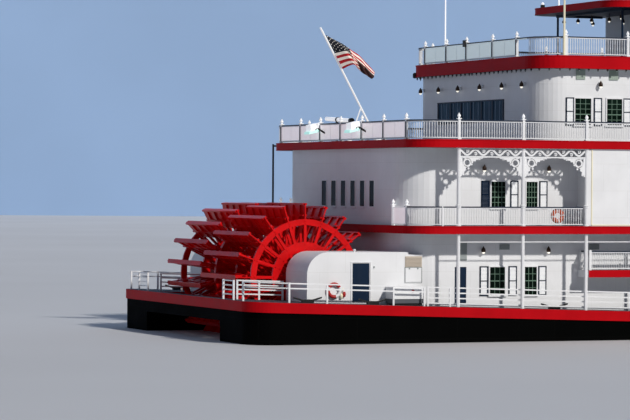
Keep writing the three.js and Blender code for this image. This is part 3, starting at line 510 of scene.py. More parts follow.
def spaced(path, pitch, start=0.0):
    """Points along a path one pitch apart, each with its heading."""
    path = np.array(path, float)
    steps = np.linalg.norm(np.diff(path, axis=0), axis=1)
    far = np.concatenate([[0], np.cumsum(steps)])
    for distance in np.arange(start, far[-1], pitch):
        i = min(int(np.searchsorted(far, distance, side="right")) - 1, len(steps) - 1)
        ahead = path[i + 1] - path[i]
        point = path[i] + ahead * ((distance - far[i]) / steps[i])
        yield point[0], point[1], atan2(ahead[1], ahead[0])


# CAD nodes get their finishes


def deck_faces(normal, centre):
    """Red edge, grey top, and an underside in deckhead paint kept dark as painted shade."""
    return 1 if normal.z > 0.5 else 2 if normal.z < -0.5 else 0


# The cleats on the main deck: how far forward and how far out they stand.
CLEATS_WITHIN = (46, 10.8)


def main_deck_faces(normal, centre):
    """As the other decks, with the cleats that stand on it in black."""
    above = centre[2] - main_top(centre[0])
    inside = centre[0] < CLEATS_WITHIN[0] and abs(centre[1]) < CLEATS_WITHIN[1]
    cleat_foot = inside and above > -0.05 and abs(normal.z) < 0.5
    return 3 if above > 0.02 or cleat_foot else deck_faces(normal, centre)


def landing_faces(normal, centre):
    """White rails over a slab with red sides, a grey top and an underside in deckhead paint kept dark as painted shade.
    """
    if centre[2] > LANDING_TOP + 0.01 or abs(normal.x) > 0.5:
        return 0
    if abs(normal.z) > 0.5:
        return 2 if normal.z > 0 else 3
    return 1


def stern_faces(deck):
    """The panels between the posts of a stern rail have their own paint, which glows as painted light."""
    middle = deck.aft + RAIL_INSET
    return lambda normal, centre: 1 if abs(centre[0] - middle) < 0.04 and abs(normal.x) > 0.5 else 0


# Nodes, with * for either side; their materials; and what gives the place of a face's own among these.
FINISHES = [
    ("hull sponson_* stern_crossbeam", ["hull"], None),
    ("deck_2 deck_3 deck_4", ["red", "deck", "deckhead_and_shade"], deck_faces),
    ("canopy_roof", ["red", "deck", "roof_under"], deck_faces),
    ("side_deck_* stern_deck main_deck", ["red", "deck", "deckhead_and_shade", "black"], main_deck_faces),
    ("house_1 house_2 house_3 texas housing_* pilothouse", ["white"], None),
    ("pilothouse_roof", ["red"], None),
    ("paddlewheel", ["wheel"], None),
    ("canopy_frame housing_door_* side_door_*", ["navy"], None),
    ("chimney_tie", ["gold"], None),
    ("flagstaff", ["slat"], None),
    ("jackstaff colonnade_* gallery_* rail_aft_* rail_fore_* rail_inner_* rail_stern_*", ["trim"], None),
    ("rail_3_* rail_4_*", ["trim"], None),
    ("flag", ["cloth_red"], None),
    ("capstan capstan_base chimney_* rudder_* rudder_bracket_*", ["black"], None),
    ("drive_*", ["steel"], None),
    ("mezzanine_*", ["trim", "red", "deck", "deckhead_and_shade"], landing_faces),
    ("rail_3_stern", ["trim", "panel"], stern_faces(DECK_3)),
    ("rail_4_stern", ["trim", "panel_cool"], stern_faces(DECK_4)),
]


def finish_nodes():
    for patterns, materials, pick in FINISHES:
        names = [pattern.replace("*", side) for pattern in patterns.split() for side in ("starboard", "port")]
        for name in dict.fromkeys(names):
            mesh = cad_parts[name].data
            mesh.materials.clear()
            for material in materials:
                mesh.materials.append(M[material])
            for face in mesh.polygons if pick else ():
                face.material_index = pick(face.normal, (np.array(face.center) - OFFSET) / HALF)


# Rails

BALUSTER = [(0.026, 0.0), (0.016, 0.1), (0.026, 0.3), (0.018, 0.5), (0.026, 0.72), (0.018, 0.9)]
BALUSTER_PITCH = 0.15
STERN_POSTS_3 = (-9.5, -6.33, -3.17, 0, 3.17, 6.33, 9.5)
STERN_POSTS_4 = (-5.98, -2.76, 0.86, 3.74, 6.9)
FIRST_POST_4 = 14.33
FINIAL = [
    (0.06, 0.0), (0.045, 0.03), (0.07, 0.07), (0.1, 0.13), (0.08, 0.19), (0.035, 0.24), (0.045, 0.27), (0.0, 0.31),
]


def baluster_run(path, z):
    """Turned balusters between a low rail and the top rail, along a path."""
    made = Shape()
    one = Shape().turned((0, 0, 0), BALUSTER, 5)
    for x, y, heading in spaced(path, BALUSTER_PITCH, BALUSTER_PITCH / 2):
        made.put(one, (x, y, z + 0.12), heading)
    return made.strip(path, 0.07, (z + 0.07, z + 0.12))


def cap_run(path, z):
    """The dark cap on a top rail."""
    return Shape().strip(path, 0.1, (z + RAIL_TOP - 0.035, z + RAIL_TOP + 0.035))


def finials(posts, z):
    made = Shape()
    for x, y in posts:
        made.post(x, y, 0.12, (z + RAIL_TOP + 0.08, z + RAIL_TOP + 0.12))
        made.turned((x, y, z + RAIL_TOP + 0.12), FINIAL, 8)
    return made


def post_feet(posts, z):
    made = Shape()
    for x, y in posts:
        made.post(x, y, 0.11, (z, z + 0.07))
    return made


def upper_rail(name, deck, first_post, across):
    """Balusters, caps and finials of one deck, navy strips of painted shade on the aft faces of its stern posts, and
    the rails of the panels.
    """
    z = deck.top
    stern_x, side_y, stern_y = deck.aft + RAIL_INSET, -deck.half + RAIL_INSET, deck.half - deck.corner
    stern_posts = [(stern_x, y) for y in across]
    side_posts = [(x, side_y) for x in np.arange(first_post, deck.shoulder - 1, COLUMN_PITCH)]
    side_posts += nose_arc(deck, RAIL_INSET, 8, 0.98)[::2]
    side_path = [*corner_arc(deck, RAIL_INSET), *nose_arc(deck, RAIL_INSET, 24, 0.98)]
    piece(f"{name}_balusters", baluster_run(side_path, z).both_sides(), "trim")
    caps = cap_run(side_path, z).both_sides().put(cap_run([(stern_x, -stern_y), (stern_x, stern_y)], z))
    piece(f"{name}_cap", caps, "cap")
    frames, post_shade_strips = Shape(), Shape()
    for ya, yb in zip(across, across[1:]):
        middle = (ya + yb) / 2
        frames.box((stern_x - 0.04, stern_x + 0.04), (ya + 0.08, yb - 0.08), (z + 0.05, z + 0.14))
        frames.box((stern_x - 0.026, stern_x + 0.026), (middle - 0.015, middle + 0.015), (z + 0.13, z + 0.95))
    piece(f"{name}_stern_panel_rails", frames, "trim", bevel=0.008)
    crowns = finials(side_posts, z).both_sides().put(finials(stern_posts, z))
    piece(f"{name}_finials", crowns, "slat")
    feet = post_feet(side_posts, z).both_sides().put(post_feet(stern_posts, z))
    piece(f"{name}_post_feet", feet, "trim", bevel=0.01)
    # Navy strips on the aft faces of the stern posts: painted shade.
    for x, y in stern_posts:
        post_shade_strips.box((x - 0.1, x - 0.076), (y - 0.045, y + 0.045), (z + 0.1, z + 0.98))
    piece(f"{name}_stern_post_shade_strips", post_shade_strips, "cap")


GALLERY_CORNER = corner_arc(DECK_2, RAIL_INSET)
GALLERY_PATH = [
    (DECK_2.aft + RAIL_INSET, GALLERY_CORNER[0][1] + 0.3), *GALLERY_CORNER, (14.5, -DECK_2.half + RAIL_INSET),
]
# Where the gallery's rail ends on the stern.
GALLERY_END = (4.3, -7.82)


def lower_rails():
    """Rails of the second deck: the gallery's and the one round the front."""
    z = DECK_2.top
    front = [(46.5, -8.6), *nose_arc(DECK_2, RAIL_INSET)[9:]]
    runs = baluster_run(GALLERY_PATH, z).put(baluster_run(front, z))
    runs.strip(front, 0.08, (z + RAIL_TOP - 0.08, z + RAIL_TOP))
    piece("deck_2_balusters", runs.both_sides(), "trim")
    piece("deck_2_cap", cap_run(GALLERY_PATH, z).put(cap_run(front, z)).both_sides(), "cap")
    across = (GALLERY_CORNER[0][1], GALLERY_END[1])
    crowns = finials([GALLERY_END, GALLERY_CORNER[0]], z)
    crowns.post(*GALLERY_END, 0.075, (z, z + RAIL_TOP + 0.08))
    for low, high in ((0.08, 0.14), (0.98, 1.05)):
        crowns.box((4.26, 4.34), across, (z + low, z + high))
    for x, y, _ in spaced(front, 2.4):
        crowns.post(x, y, 0.075, (z, z + 1.13)).put(finials([(x, y)], z))
    piece("deck_2_finials", crowns.both_sides(), "slat")
    # The end screens glow like the stern panels: painted light.
    screen = Shape().box((4.29, 4.31), across, (z + 0.14, z + 0.98))
    piece("deck_2_end_screens", screen.both_sides(), "panel")


LANDING_PATH = [(15.15, -9.65), (15.15, -10.75), (27.05, -10.75), (27.05, -9.65)]


def mezzanine_rails():
    piece("mezzanine_balusters", baluster_run(LANDING_PATH, LANDING_TOP).both_sides(), "trim")
    piece("mezzanine_cap", cap_run(LANDING_PATH, LANDING_TOP).both_sides(), "cap")


# Windows, shutters and doors


class Face:
    """A flat stretch of wall: distance along it, height, and distance out from it."""

    def __init__(self, origin, along, out):
        self.origin, self.along, self.out = np.array(origin, float), np.array(along, float), np.array(out, float)

    def point(self, a, d):
        return self.origin + self.along * a + self.out * d

    def box(self, shape, a, h, d, mark=0):
        plan = [self.point(a[i], d[j]) for i, j in ((0, 0), (1, 0), (1, 1), (0, 1))]
        shape.tube([(*p, z) for z in h for p in plan], 4, mark)

    def boxes(self, shape, rows):
        for row in rows:
            self.box(shape, *row)

    def casing(self, shape, a, h, wide, below, d):
        """Trim round an opening: two jambs, which start below it, and a head."""
        jamb = (h[0] - below, h[1] + wide)
        self.boxes(shape, [((a[0] - wide, a[0]), jamb, d), ((a[1], a[1] + wide), jamb, d), (a, (h[1], h[1] + wide), d)])

    def slats(self, shape, a, low, count, pitch, high, d, mark):
        """A stack of level slats."""
        for i in range(count):
            self.box(shape, a, (low + i * pitch, low + i * pitch + high), d, mark)


def side_wall(out):
    return Face((0, -out), (1, 0), (0, -1))


def stern_wall(house):
    return Face((house.aft, 0), (0, 1), (-1, 0))


CASING = 0.07
BAR = 0.013
SHUTTER_EDGE = 0.06
SHUTTER_SLATS = 22
DOOR_CASING = 0.08
TRIM, GLASS, BARS, NAVY, SLAT = range(5)
OPENING_MATERIALS = ["trim", "glass", "muntin", "navy", "slat"]


def window(shape, wall, a, h, columns, rows):
    """A sash window: white casing with a sill, dark panes and thin bars."""
    (a0, a1), (h0, h1), w = a, h, CASING
    wall.box(shape, a, h, (-0.02, 0.02), GLASS)
    wall.casing(shape, a, h, w, w, (-0.02, 0.06))
    wall.box(shape, (a0 - w - 0.04, a1 + w + 0.04), (h0 - w - 0.03, h0), (-0.02, 0.11), TRIM)
    for i in range(1, columns):
        centre = a0 + (a1 - a0) * i / columns
        wall.box(shape, (centre - BAR, centre + BAR), h, (0.01, 0.035), BARS)
    for i in range(1, rows):
        centre = h0 + (h1 - h0) * i / rows
        thick = BAR * 2 if i == rows // 2 else BAR
        wall.box(shape, a, (centre - thick, centre + thick), (0.01, 0.04), BARS)


def shutter(shape, wall, a, h, dark=False):
    """A louvred shutter: a navy frame round white slats, which glow as a painted highlight, or all navy."""
    (a0, a1), (h0, h1), edge = a, h, SHUTTER_EDGE
    middle = (h0 + h1) / 2
    for along, up in (
        ((a0, a0 + edge), h), ((a1 - edge, a1), h), (a, (h0, h0 + edge)), (a, (h1 - edge, h1)),
        (a, (middle - edge / 2, middle + edge / 2)),
    ):
        wall.box(shape, along, up, (0.0, 0.06), NAVY)
    inside = (a0 + edge, a1 - edge)
    wall.slats(shape, inside, h0, SHUTTER_SLATS, (h1 - h0) / SHUTTER_SLATS, 0.05, (0.01, 0.045), NAVY if dark else SLAT)


def panel_door(shape, wall, a, h):
    """A navy door in a white casing, with raised rails and a round handle."""
    (a0, a1), (h0, h1) = a, h
    wall.box(shape, a, h, (0.0, 0.04), NAVY)
    wall.casing(shape, a, h, DOOR_CASING, 0, (-0.02, 0.07))
    wall.boxes(shape, [
        ((a0 + 0.12, a1 - 0.12), (h0 + 0.12, h0 + 0.95), (0.04, 0.055), NAVY),
        ((a0 + 0.12, a1 - 0.12), (h0 + 1.1, h1 - 0.15), (0.04, 0.055), NAVY),
        ((a1 - 0.14, a1 - 0.08), (h0 + 0.98, h0 + 1.04), (0.04, 0.1), TRIM),
    ])


# Shutters (white or navy) and windows of one bay: kind, start and end.
BAY_1 = [
    ("white", 8.87, 9.37), ("window", 9.49, 10.42), ("white", 10.66, 11.17), ("window", 11.66, 12.41),
    ("white", 12.52, 13.02),
]
BAY_2 = [
    ("navy", 8.93, 9.43), ("window", 9.55, 10.42), ("white", 10.74, 11.23), ("window", 11.73, 12.42),
    ("white", 12.55, 13.05),
]
BAY_3 = [
    ("white", 14.54, 15.05), ("window", 15.12, 16.14), ("white", 16.33, 16.84), ("window", 17.16, 18.13),
    ("white", 18.2, 18.71),
]
TEXAS_WINDOWS = (25.2, 28.4, 31.6, 34.8)
TEXAS_DOORS = (26.9, 33.3)
# Level, the wall's distance from the centreline, bay, its shifts, heights, columns and rows of panes.
SIDE_BAYS = [
    (1, SIDE_WALL, BAY_1, (0, 11.2, 18.5, 23.8), (2.56, 4.12), 3, 4),
    (2, SIDE_WALL, BAY_2, (0,), (7.46, 8.92), 4, 5),
    (2, FLUSH_WALL, BAY_2, (11.0, 16.0, 21.0), (7.46, 8.92), 4, 5),
    (3, HOUSE_3.half, BAY_3, (0, 5.6, 11.2, 16.8), (12.2, 13.7), 3, 5),
]


def side_openings():
    """Windows, shutters and doors along the sides, mirrored to port."""
    levels = {level: Shape() for level in (1, 2, 3, 4)}
    for level, out, bay, shifts, (low, high), columns, rows in SIDE_BAYS:
        made, wall = levels[level], side_wall(out)
        for shift in shifts:
            for kind, start, end in bay:
                a = (start + shift, end + shift)
                if kind == "window":
                    window(made, wall, a, (low, high), columns, rows)
                else:
                    shutter(made, wall, a, (low - 0.05, high + 0.05), kind == "navy")
    made, wall = levels[4], side_wall(TEXAS.half)
    for x in TEXAS_WINDOWS:
        window(made, wall, (x, x + 0.9), (17.0, 18.3), 2, 3)
        for start in (x - 0.55, x + 1.0):
            shutter(made, wall, (start, start + 0.45), (16.95, 18.35))
    for x in TEXAS_DOORS:
        panel_door(made, wall, (x, x + 0.8), (16.2, 18.2))
    for level, made in levels.items():
        piece(f"openings_{level}", made.both_sides(), OPENING_MATERIALS)


# The round fronts: where each starts, its reach, half its width, its floor and its windows' heights.
FRONTS = [
    (HOUSE_1.shoulder, HOUSE_1.tip - HOUSE_1.shoulder, HOUSE_1.half, 1.75, (2.6, 4.1)),
    (36, 10, FLUSH_WALL, 6.44, (7.5, 8.9)),
    (HOUSE_3.shoulder, HOUSE_3.tip - HOUSE_3.shoulder, HOUSE_3.half, 11.24, (12.2, 13.7)),
]


# Where the windows of a round front stand, as shares of a quarter turn.
FRONT_SHARES = (-0.66, -0.42, -0.2, 0.2, 0.42, 0.66)


def front_openings():
    """Doors and windows in the round fronts of the houses."""
    made = Shape()
    for shoulder, reach, across, floor, heights in FRONTS:
        for share in FRONT_SHARES:
            angle = share * pi / 2
            out = np.array([across * cos(angle), reach * sin(angle)])
            out /= np.linalg.norm(out)
            wall = Face((shoulder + reach * cos(angle), across * sin(angle)), (-out[1], out[0]), out)
            window(made, wall, (-0.45, 0.45), heights, 3, 4)
        wall = Face((shoulder + reach, 0), (0, 1), (1, 0))
        for a in ((-0.9, -0.02), (0.02, 0.9)):
            panel_door(made, wall, a, (floor + 0.05, floor + 2.15))
    piece("openings_front", made, OPENING_MATERIALS)


STERN_WINDOWS = [(2.36, 3.06), (0.88, 1.57), (-0.58, 0.1), (-2.02, -1.35), (-3.43, -2.77), (-4.82, -4.17)]
STERN_WINDOW_HEIGHTS = (7.47, 8.94)
# The band's posts, its heights, and where its thin lines stand between two posts.
STERN_BAND = [5.1, 3.3, 1.8, 0.42, -1.1, -2.6, -4.03]
BAND_HEIGHTS = (12.5, 13.67)
BAND_LINES = (0.3, 0.72)


def stern_openings():
    """The stern walls: six narrow windows below, a band of broad ones above."""
    made = Shape()
    wall = stern_wall(HOUSE_2)
    low, high = STERN_WINDOW_HEIGHTS
    for a in STERN_WINDOWS:
        wall.box(made, a, (low, high), (-0.02, 0.015), 1)
        wall.casing(made, a, (low, high), 0.05, 0.05, (-0.02, 0.035))
        wall.box(made, (a[0] - 0.08, a[1] + 0.08), (low - 0.09, low), (-0.02, 0.07))
    wall = stern_wall(HOUSE_3)
    low, high = BAND_HEIGHTS
    wall.box(made, (STERN_BAND[-1], STERN_BAND[0]), (low, high), (-0.02, 0.015), 2)
    for y in STERN_BAND:
        wall.box(made, (y - 0.09, y + 0.09), (low - 0.05, high + 0.05), (0.0, 0.05), 3)
    for h in ((low - 0.08, low), (high, high + 0.07)):
        wall.box(made, (STERN_BAND[-1] - 0.1, STERN_BAND[0] + 0.1), h, (-0.02, 0.06), 3)
    for y0, y1 in zip(STERN_BAND[1:], STERN_BAND):
        for share in BAND_LINES:
            middle = y0 + (y1 - y0) * share
            wall.box(made, (middle - 0.04, middle + 0.04), (low + 0.02, high - 0.02), (0.015, 0.03), 4)
    piece("openings_stern", made, ["trim", "glass_stern", "glass_band", "navy", "band_line"])


# Lanterns

LANTERN_HOOD = [(0.09, 0.0), (0.13, 0.06), (0.11, 0.18), (0.05, 0.27), (0.02, 0.32), (0.0, 0.35)]
LANTERN_GLASS = [(0.0, 0.0), (0.05, 0.02), (0.085, 0.07), (0.085, 0.11), (0.07, 0.12)]
HUNG_HOOD = [(0.09, 0.0), (0.13, 0.06), (0.1, 0.15), (0.04, 0.23), (0.0, 0.26)]
HUNG_GLASS = [(0.0, 0.0), (0.045, 0.02), (0.07, 0.06), (0.065, 0.09)]
HUNG_LANTERNS = [
    (20.9, 4.1), (21.2, 2.8), (21.6, 1.76), (23.3, 4.9), (22.2, 0.6), (21.4, -2.48), (24.0, 2.14), (24.4, -2.0),
]
# The wall's distance from the centreline, height, and places along the wall.
SIDE_LANTERNS = [
    (SIDE_WALL, 5.02, (8.99, 13.05, 20.95, 24.9, 28.85, 32.8, 36.7)),
    (SIDE_WALL, 9.6, (9.02, 13.05)),
    (HOUSE_3.half, 14.45, (16.65, 22.25, 27.85, 33.45)),
]
STERN_LANTERNS = (14.44, (7.3, 4.66, 1.85, -1.23, -4.25, -6.9))


def lantern(shape, wall, a, h):
    """A teardrop lantern on a bracket: marks 0 for the metal, 1 for the glass and 2 for the bracket."""
    x, y = wall.point(a, 0.24)
    wall.box(shape, (a - 0.045, a + 0.045), (h + 0.02, h + 0.2), (0.0, 0.03), 2)
    wall.box(shape, (a - 0.018, a + 0.018), (h + 0.15, h + 0.19), (0.0, 0.26), 2)
    shape.turned((x, y, h - 0.06), LANTERN_HOOD)
    shape.turned((x, y, h - 0.16), LANTERN_GLASS, mark=1)


def lanterns():
    made = Shape()
    for out, h, places in SIDE_LANTERNS:
        for x in places:
            lantern(made, side_wall(out), x, h)
    made = made.both_sides()
    h, places = STERN_LANTERNS
    for y in places:
        lantern(made, stern_wall(HOUSE_3), y, h)
    piece("lanterns", made, ["brass", "lamp", "trim"], smooth=True)
    hung, z = Shape(), ROOF.under
    for x, y in HUNG_LANTERNS:
        hung.rod((x, y, z), (x, y, z - 0.25), 0.015, 5)
        hung.turned((x, y, z - 0.48), HUNG_HOOD)
        hung.turned((x, y, z - 0.57), HUNG_GLASS, mark=1)
    piece("canopy_lanterns", hung, ["brass", "lamp"], smooth=True)


# Gallery and its carved board

FRIEZE_TOP = DECK_3.under
FRIEZE_LOW = FRIEZE_TOP - 0.5
FRIEZE_DEPTH = 0.07
FRIEZE_Y = (-COLUMN_Y - FRIEZE_DEPTH / 2, -COLUMN_Y + FRIEZE_DEPTH / 2)
WAVES = 4
WAVE_SWING = 0.15
WAVE_STEPS = 60
CURL_STEPS = 14
# The carved corner: its ring (place, outer and inner radius), two arms and round bosses.
RING_AT = (0.42, -0.32)
RING_RADII = (0.25, 0.15)
RING_STEPS = 24
ARMS_OF_BRACKET = [
    [
        (0.0, 0.0), (0.0, -1.1), (0.1, -1.06), (0.14, -0.96), (0.24, -0.92), (0.22, -0.8), (0.34, -0.74),
        (0.32, -0.62), (0.44, -0.56), (0.3, -0.5), (0.16, -0.4), (0.13, -0.25), (0.12, 0.0),
    ],
    [
        (0.1, 0.0), (0.12, -0.06), (0.3, -0.1), (0.5, -0.1), (0.62, -0.2), (0.64, -0.34), (0.76, -0.36),
        (0.78, -0.24), (0.92, -0.26), (0.96, -0.16), (1.1, -0.16), (1.14, -0.09), (1.34, -0.1), (1.4, -0.05),
        (1.62, -0.05), (1.62, 0.0),
    ],
]
BOSSES = [(0.5, -0.64, 0.06), (0.7, -0.42, 0.05), (1.18, -0.14, 0.04), (0.2, -0.98, 0.05)]
COLLAR = [(0.11, 0.0), (0.15, 0.02), (0.15, 0.1), (0.18, 0.13), (0.15, 0.17), (0.11, 0.2)]


def ribbon(shape, path, width):
    """A carved ribbon along a path in X and Z; its width may vary."""
    path = np.array(path, float)
    ahead = np.gradient(path, axis=0)
    side = np.column_stack([-ahead[:, 1], ahead[:, 0]])
    side /= np.linalg.norm(side, axis=1)[:, None]
    side = side * np.reshape(width, (-1, 1)) / 2
    near, far = FRIEZE_Y
    rings = []
    for a, b in zip(path + side, path - side):
        rings += [(a[0], near, a[1]), (b[0], near, b[1]), (b[0], far, b[1]), (a[0], far, a[1])]
    shape.tube(rings, 4)


def curl(shape, x, z, hand):
    """A small curl that winds in towards its middle."""
    path = []
    for i in range(CURL_STEPS + 1):
        share = i / CURL_STEPS
        angle = hand * (-2.4 + share * 1.1 * tau)
        reach = 0.1 * (1 - 0.75 * share)
        path.append((x + reach * cos(angle), z + reach * sin(angle)))
    ribbon(shape, path, np.linspace(0.055, 0.04, CURL_STEPS + 1))


def bracket(shape, x, hand):
    """The carved corner under the band: a ring between two arms with a stepped edge."""
    points, faces = [], []
    for i in range(RING_STEPS):
        angle = tau * i / RING_STEPS
        for radius in RING_RADII:
            px = x + hand * (RING_AT[0] + radius * cos(angle))
            pz = FRIEZE_LOW + RING_AT[1] + radius * sin(angle)
            points += [(px, y, pz) for y in FRIEZE_Y]
        a, b = 4 * i, 4 * ((i + 1) % RING_STEPS)
        faces += [
            (a, b, b + 2, a + 2), (a + 1, a + 3, b + 3, b + 1), (a, a + 1, b + 1, b), (a + 2, b + 2, b + 3, a + 3),
        ]
    shape.add(points, faces)
    for arm in ARMS_OF_BRACKET:
        shape.plate([(x + hand * u, FRIEZE_LOW + v) for u, v in arm], FRIEZE_Y)
    for u, v, r in BOSSES:
        ends = [(x + hand * u, y, FRIEZE_LOW + v) for y in FRIEZE_Y]
        shape.rod(*ends, r, 10)


def frieze_bay(shape, x0, x1):
    """One bay: a wave that runs between two rails, with a curl in each hollow, and two brackets."""
    shape.box((x0, x1), (-COLUMN_Y - 0.05, -COLUMN_Y + 0.05), (FRIEZE_LOW - 0.03, FRIEZE_LOW + 0.04))
    shape.box((x0, x1), (-COLUMN_Y - 0.04, -COLUMN_Y + 0.04), (FRIEZE_TOP - 0.04, FRIEZE_TOP - 0.002))
    pitch = (x1 - x0) / WAVES
    middle = (FRIEZE_LOW + FRIEZE_TOP) / 2
    xs = np.linspace(x0, x1, WAVE_STEPS + 1)
    ribbon(shape, [(x, middle + WAVE_SWING * cos((x - x0) / pitch * tau)) for x in xs], 0.1)
    for i in range(WAVES):
        curl(shape, x0 + (i + 0.5) * pitch + 0.02, middle + 0.09, 1)
        if i:
            curl(shape, x0 + i * pitch + 0.02, middle - 0.09, -1)
    bracket(shape, x0 + 0.08, 1)
    bracket(shape, x1 - 0.08, -1)


def column(shape, x, z0, z1):
    """A round iron column with a base, a collar at the rail and a cap."""
    high = z1 - z0
    shape.turned((x, -COLUMN_Y, z0), [
        (0.16, 0.0), (0.16, 0.05), (0.12, 0.09), (0.11, 0.12), (0.11, high - 0.14), (0.13, high - 0.1),
        (0.15, high - 0.04), (0.15, high - 0.002),
    ], 14)
    shape.turned((x, -COLUMN_Y, DECK_2.top + 1.0), COLLAR)


def make_gallery():
    made = Shape()
    z = DECK_2.top
    xs = [FIRST_COLUMN + i * COLUMN_PITCH for i in range(3)]
    for x in xs:
        column(made, x, z + 0.002, FRIEZE_TOP)
    for a, b in zip(xs, xs[1:]):
        frieze_bay(made, a, b)
    made.strip(GALLERY_PATH, 0.08, (z + RAIL_TOP - 0.08, z + RAIL_TOP))
    for (x, y), half in ((GALLERY_PATH[0], 0.05), (GALLERY_CORNER[0], 0.075), (GALLERY_CORNER[-1], 0.05)):
        made.post(x, y, half, (z + 0.002, z + RAIL_TOP + 0.04))
    for side, sign in (("starboard", 1), ("port", -1)):
        half = Shape().add([(x, sign * y, h) for x, y, h in made.points], made.faces)
        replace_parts(piece(f"gallery_carved_{side}", half, "trim"), f"gallery_{side}")


# Paddlewheel: battens on the paddles, and bolts and collars on the frames

BATTENS = 5
BATTEN_HALF = 0.15
HUB = [(0.62, 0.0), (0.62, 0.12), (0.5, 0.16), (0.36, 0.3), (0.32, 0.34)]
BOLT_CIRCLES = (0.56, 1.58, 1.86, 3.02, 3.16)
# How far battens and edge strips stand off the middle of a paddle.
BATTEN_DEPTH = (0.03, 0.12)
STRIP_DEPTH = (0.04, 0.125)


def radial_bar(shape, angle, reach, y, depth):
    """A box that lies along a radius of the wheel; depth is measured across the arm."""
    radial, across = np.array([cos(angle), 0, sin(angle)]), np.array([-sin(angle), 0, cos(angle)])
    corners = []
    for r in reach:
        for yy, d in ((y[0], depth[0]), (y[1], depth[0]), (y[1], depth[1]), (y[0], depth[1])):
            corners.append(np.array([WHEEL_X, 0, WHEEL_Z]) + radial * r + across * d + np.array([0, yy, 0]))
    shape.tube(corners, 4)


def wheel_dressing():
    """Battens and edge strips on both faces of each paddle, and the arms of the inner frames."""
    made, arms, hubs = Shape(), Shape(), Shape()
    pitch = tau / ARMS
    for half, turn in ((-1, 0.0), (1, 0.5)):
        for i in range(ARMS):
            angle = (i + turn) * pitch
            for k in range(BATTENS):
                y = half * (0.25 + (WHEEL_HALF - 0.45) * (k + 0.5) / BATTENS)
                across = (y - BATTEN_HALF, y + BATTEN_HALF)
                for face in (-1, 1):
                    depth = [face * d for d in BATTEN_DEPTH]
                    radial_bar(made, angle, (PADDLE_ROOT + 0.05, WHEEL_TIP - 0.1), across, depth)
                radial_bar(arms, angle, (0.5, PADDLE_ROOT + 0.1), (y - 0.06, y + 0.06), (-0.07, 0.07))
            across = sorted((half * 0.1, half * (WHEEL_HALF - 0.1)))
            for reach in (PADDLE_ROOT + 0.5, WHEEL_TIP - 0.05):
                for face in (-1, 1):
                    depth = [face * d for d in STRIP_DEPTH]
                    radial_bar(made, angle, (reach - 0.05, reach + 0.05), across, depth)
    piece("inner_wheel_arms", arms, "wheel", body="paddlewheel")
    piece("paddle_battens", made, "wheel", body="paddlewheel")
    for out, first in ((-1, 0.0), (1, 0.5)):
        y = out * WHEEL_HALF
        turn = Vector((0, out, 0)).to_track_quat("Z", "Y")
        hubs.turned((WHEEL_X, y - out * 0.05, WHEEL_Z), HUB, 24, turn)
        for i in range(ARMS):
            angle = (i + first) * pitch
            for reach in BOLT_CIRCLES:
                x, z = WHEEL_X + reach * cos(angle), WHEEL_Z + reach * sin(angle)
                hubs.rod((x, y - out * 0.02, z), (x, y + out * 0.035, z), 0.04, 6)
    piece("wheel_hubs_and_bolts", hubs, "wheel", body="paddlewheel")


# Deck edges

BULB = [(0.0, 0.0), (0.035, 0.02), (0.04, 0.05), (0.03, 0.08)]
BULB_PITCH = 0.6
BEAD = 0.028


def fascia_trim():
    """Beads on the deck edges, and the row of small bulbs under the fourth deck."""
    beads, sockets, bulbs = Shape(), Shape(), Shape()
    for deck in (DECK_2, DECK_3, DECK_4, ROOF):
        path = [(deck.aft, 0), *corner_arc(deck, 0.0), *nose_arc(deck, 0.0)]
        for z in (deck.under + 0.03, deck.top - 0.03):
            beads.strip(path, 0.05, (z - BEAD, z + BEAD))
    piece("fascia_beads", beads.both_sides(), "red")
    path = [(DECK_4.aft + 0.06, 0), *corner_arc(DECK_4, 0.06), *nose_arc(DECK_4, 0.06)]
    socket = Shape().post(0, 0, 0.04, (-0.09, 0))
    for x, y, heading in spaced(path, BULB_PITCH, 0.2):
        sockets.put(socket, (x, y, DECK_4.under), heading)
        bulbs.turned((x, y, DECK_4.under - 0.17), BULB, 6)
    piece("bulb_sockets", sockets.both_sides(), "black")
    piece("fascia_bulbs", bulbs.both_sides(), "grey", smooth=True)


# Wall fittings


def wall_fittings():
    """Ledge, vents, a meter box, and the edge of the flush wall."""
    made = Shape()
    wall = side_wall(SIDE_WALL)
    wall.box(made, (6.2, 39), (4.44, 4.48), (0.0, 0.025), 0)
    for x in (10.38, 16.03):
        wall.box(made, (x - 0.29, x + 0.29), (5.1, 5.4), (0.0, 0.12), 1)
        wall.slats(made, (x - 0.25, x + 0.25), 5.12, 4, 0.07, 0.03, (0.12, 0.14), 1)
    wall.box(made, (7.64, 8.06), (4.5, 5.55), (0.0, 0.05), 1)
    wall = side_wall(HOUSE_3.half)
    for x0, x1 in ((15.18, 15.75), (17.29, 17.87), (21.0, 21.6), (24.0, 24.6)):
        wall.box(made, (x0, x1), (14.78, 15.34), (0.0, 0.06), 3)
        wall.slats(made, (x0 + 0.03, x1 - 0.03), 14.83, 7, 0.07, 0.03, (0.06, 0.08), 3)
    made.box((14.76, 14.96), (-FLUSH_WALL, -11.02), (6.46, 10.76), 0)
    side_wall(FLUSH_WALL).boxes(made, [
        ((14.97, 15.04), (6.5, 10.75), (0.0, 0.03), 2),
        ((15.03, 40), (6.47, 6.53), (0.0, 0.03), 2),
    ])
    piece("wall_fittings", made.both_sides(), ["trim", "grey", "cream_painted_glow", "vent"], bevel=0.008)


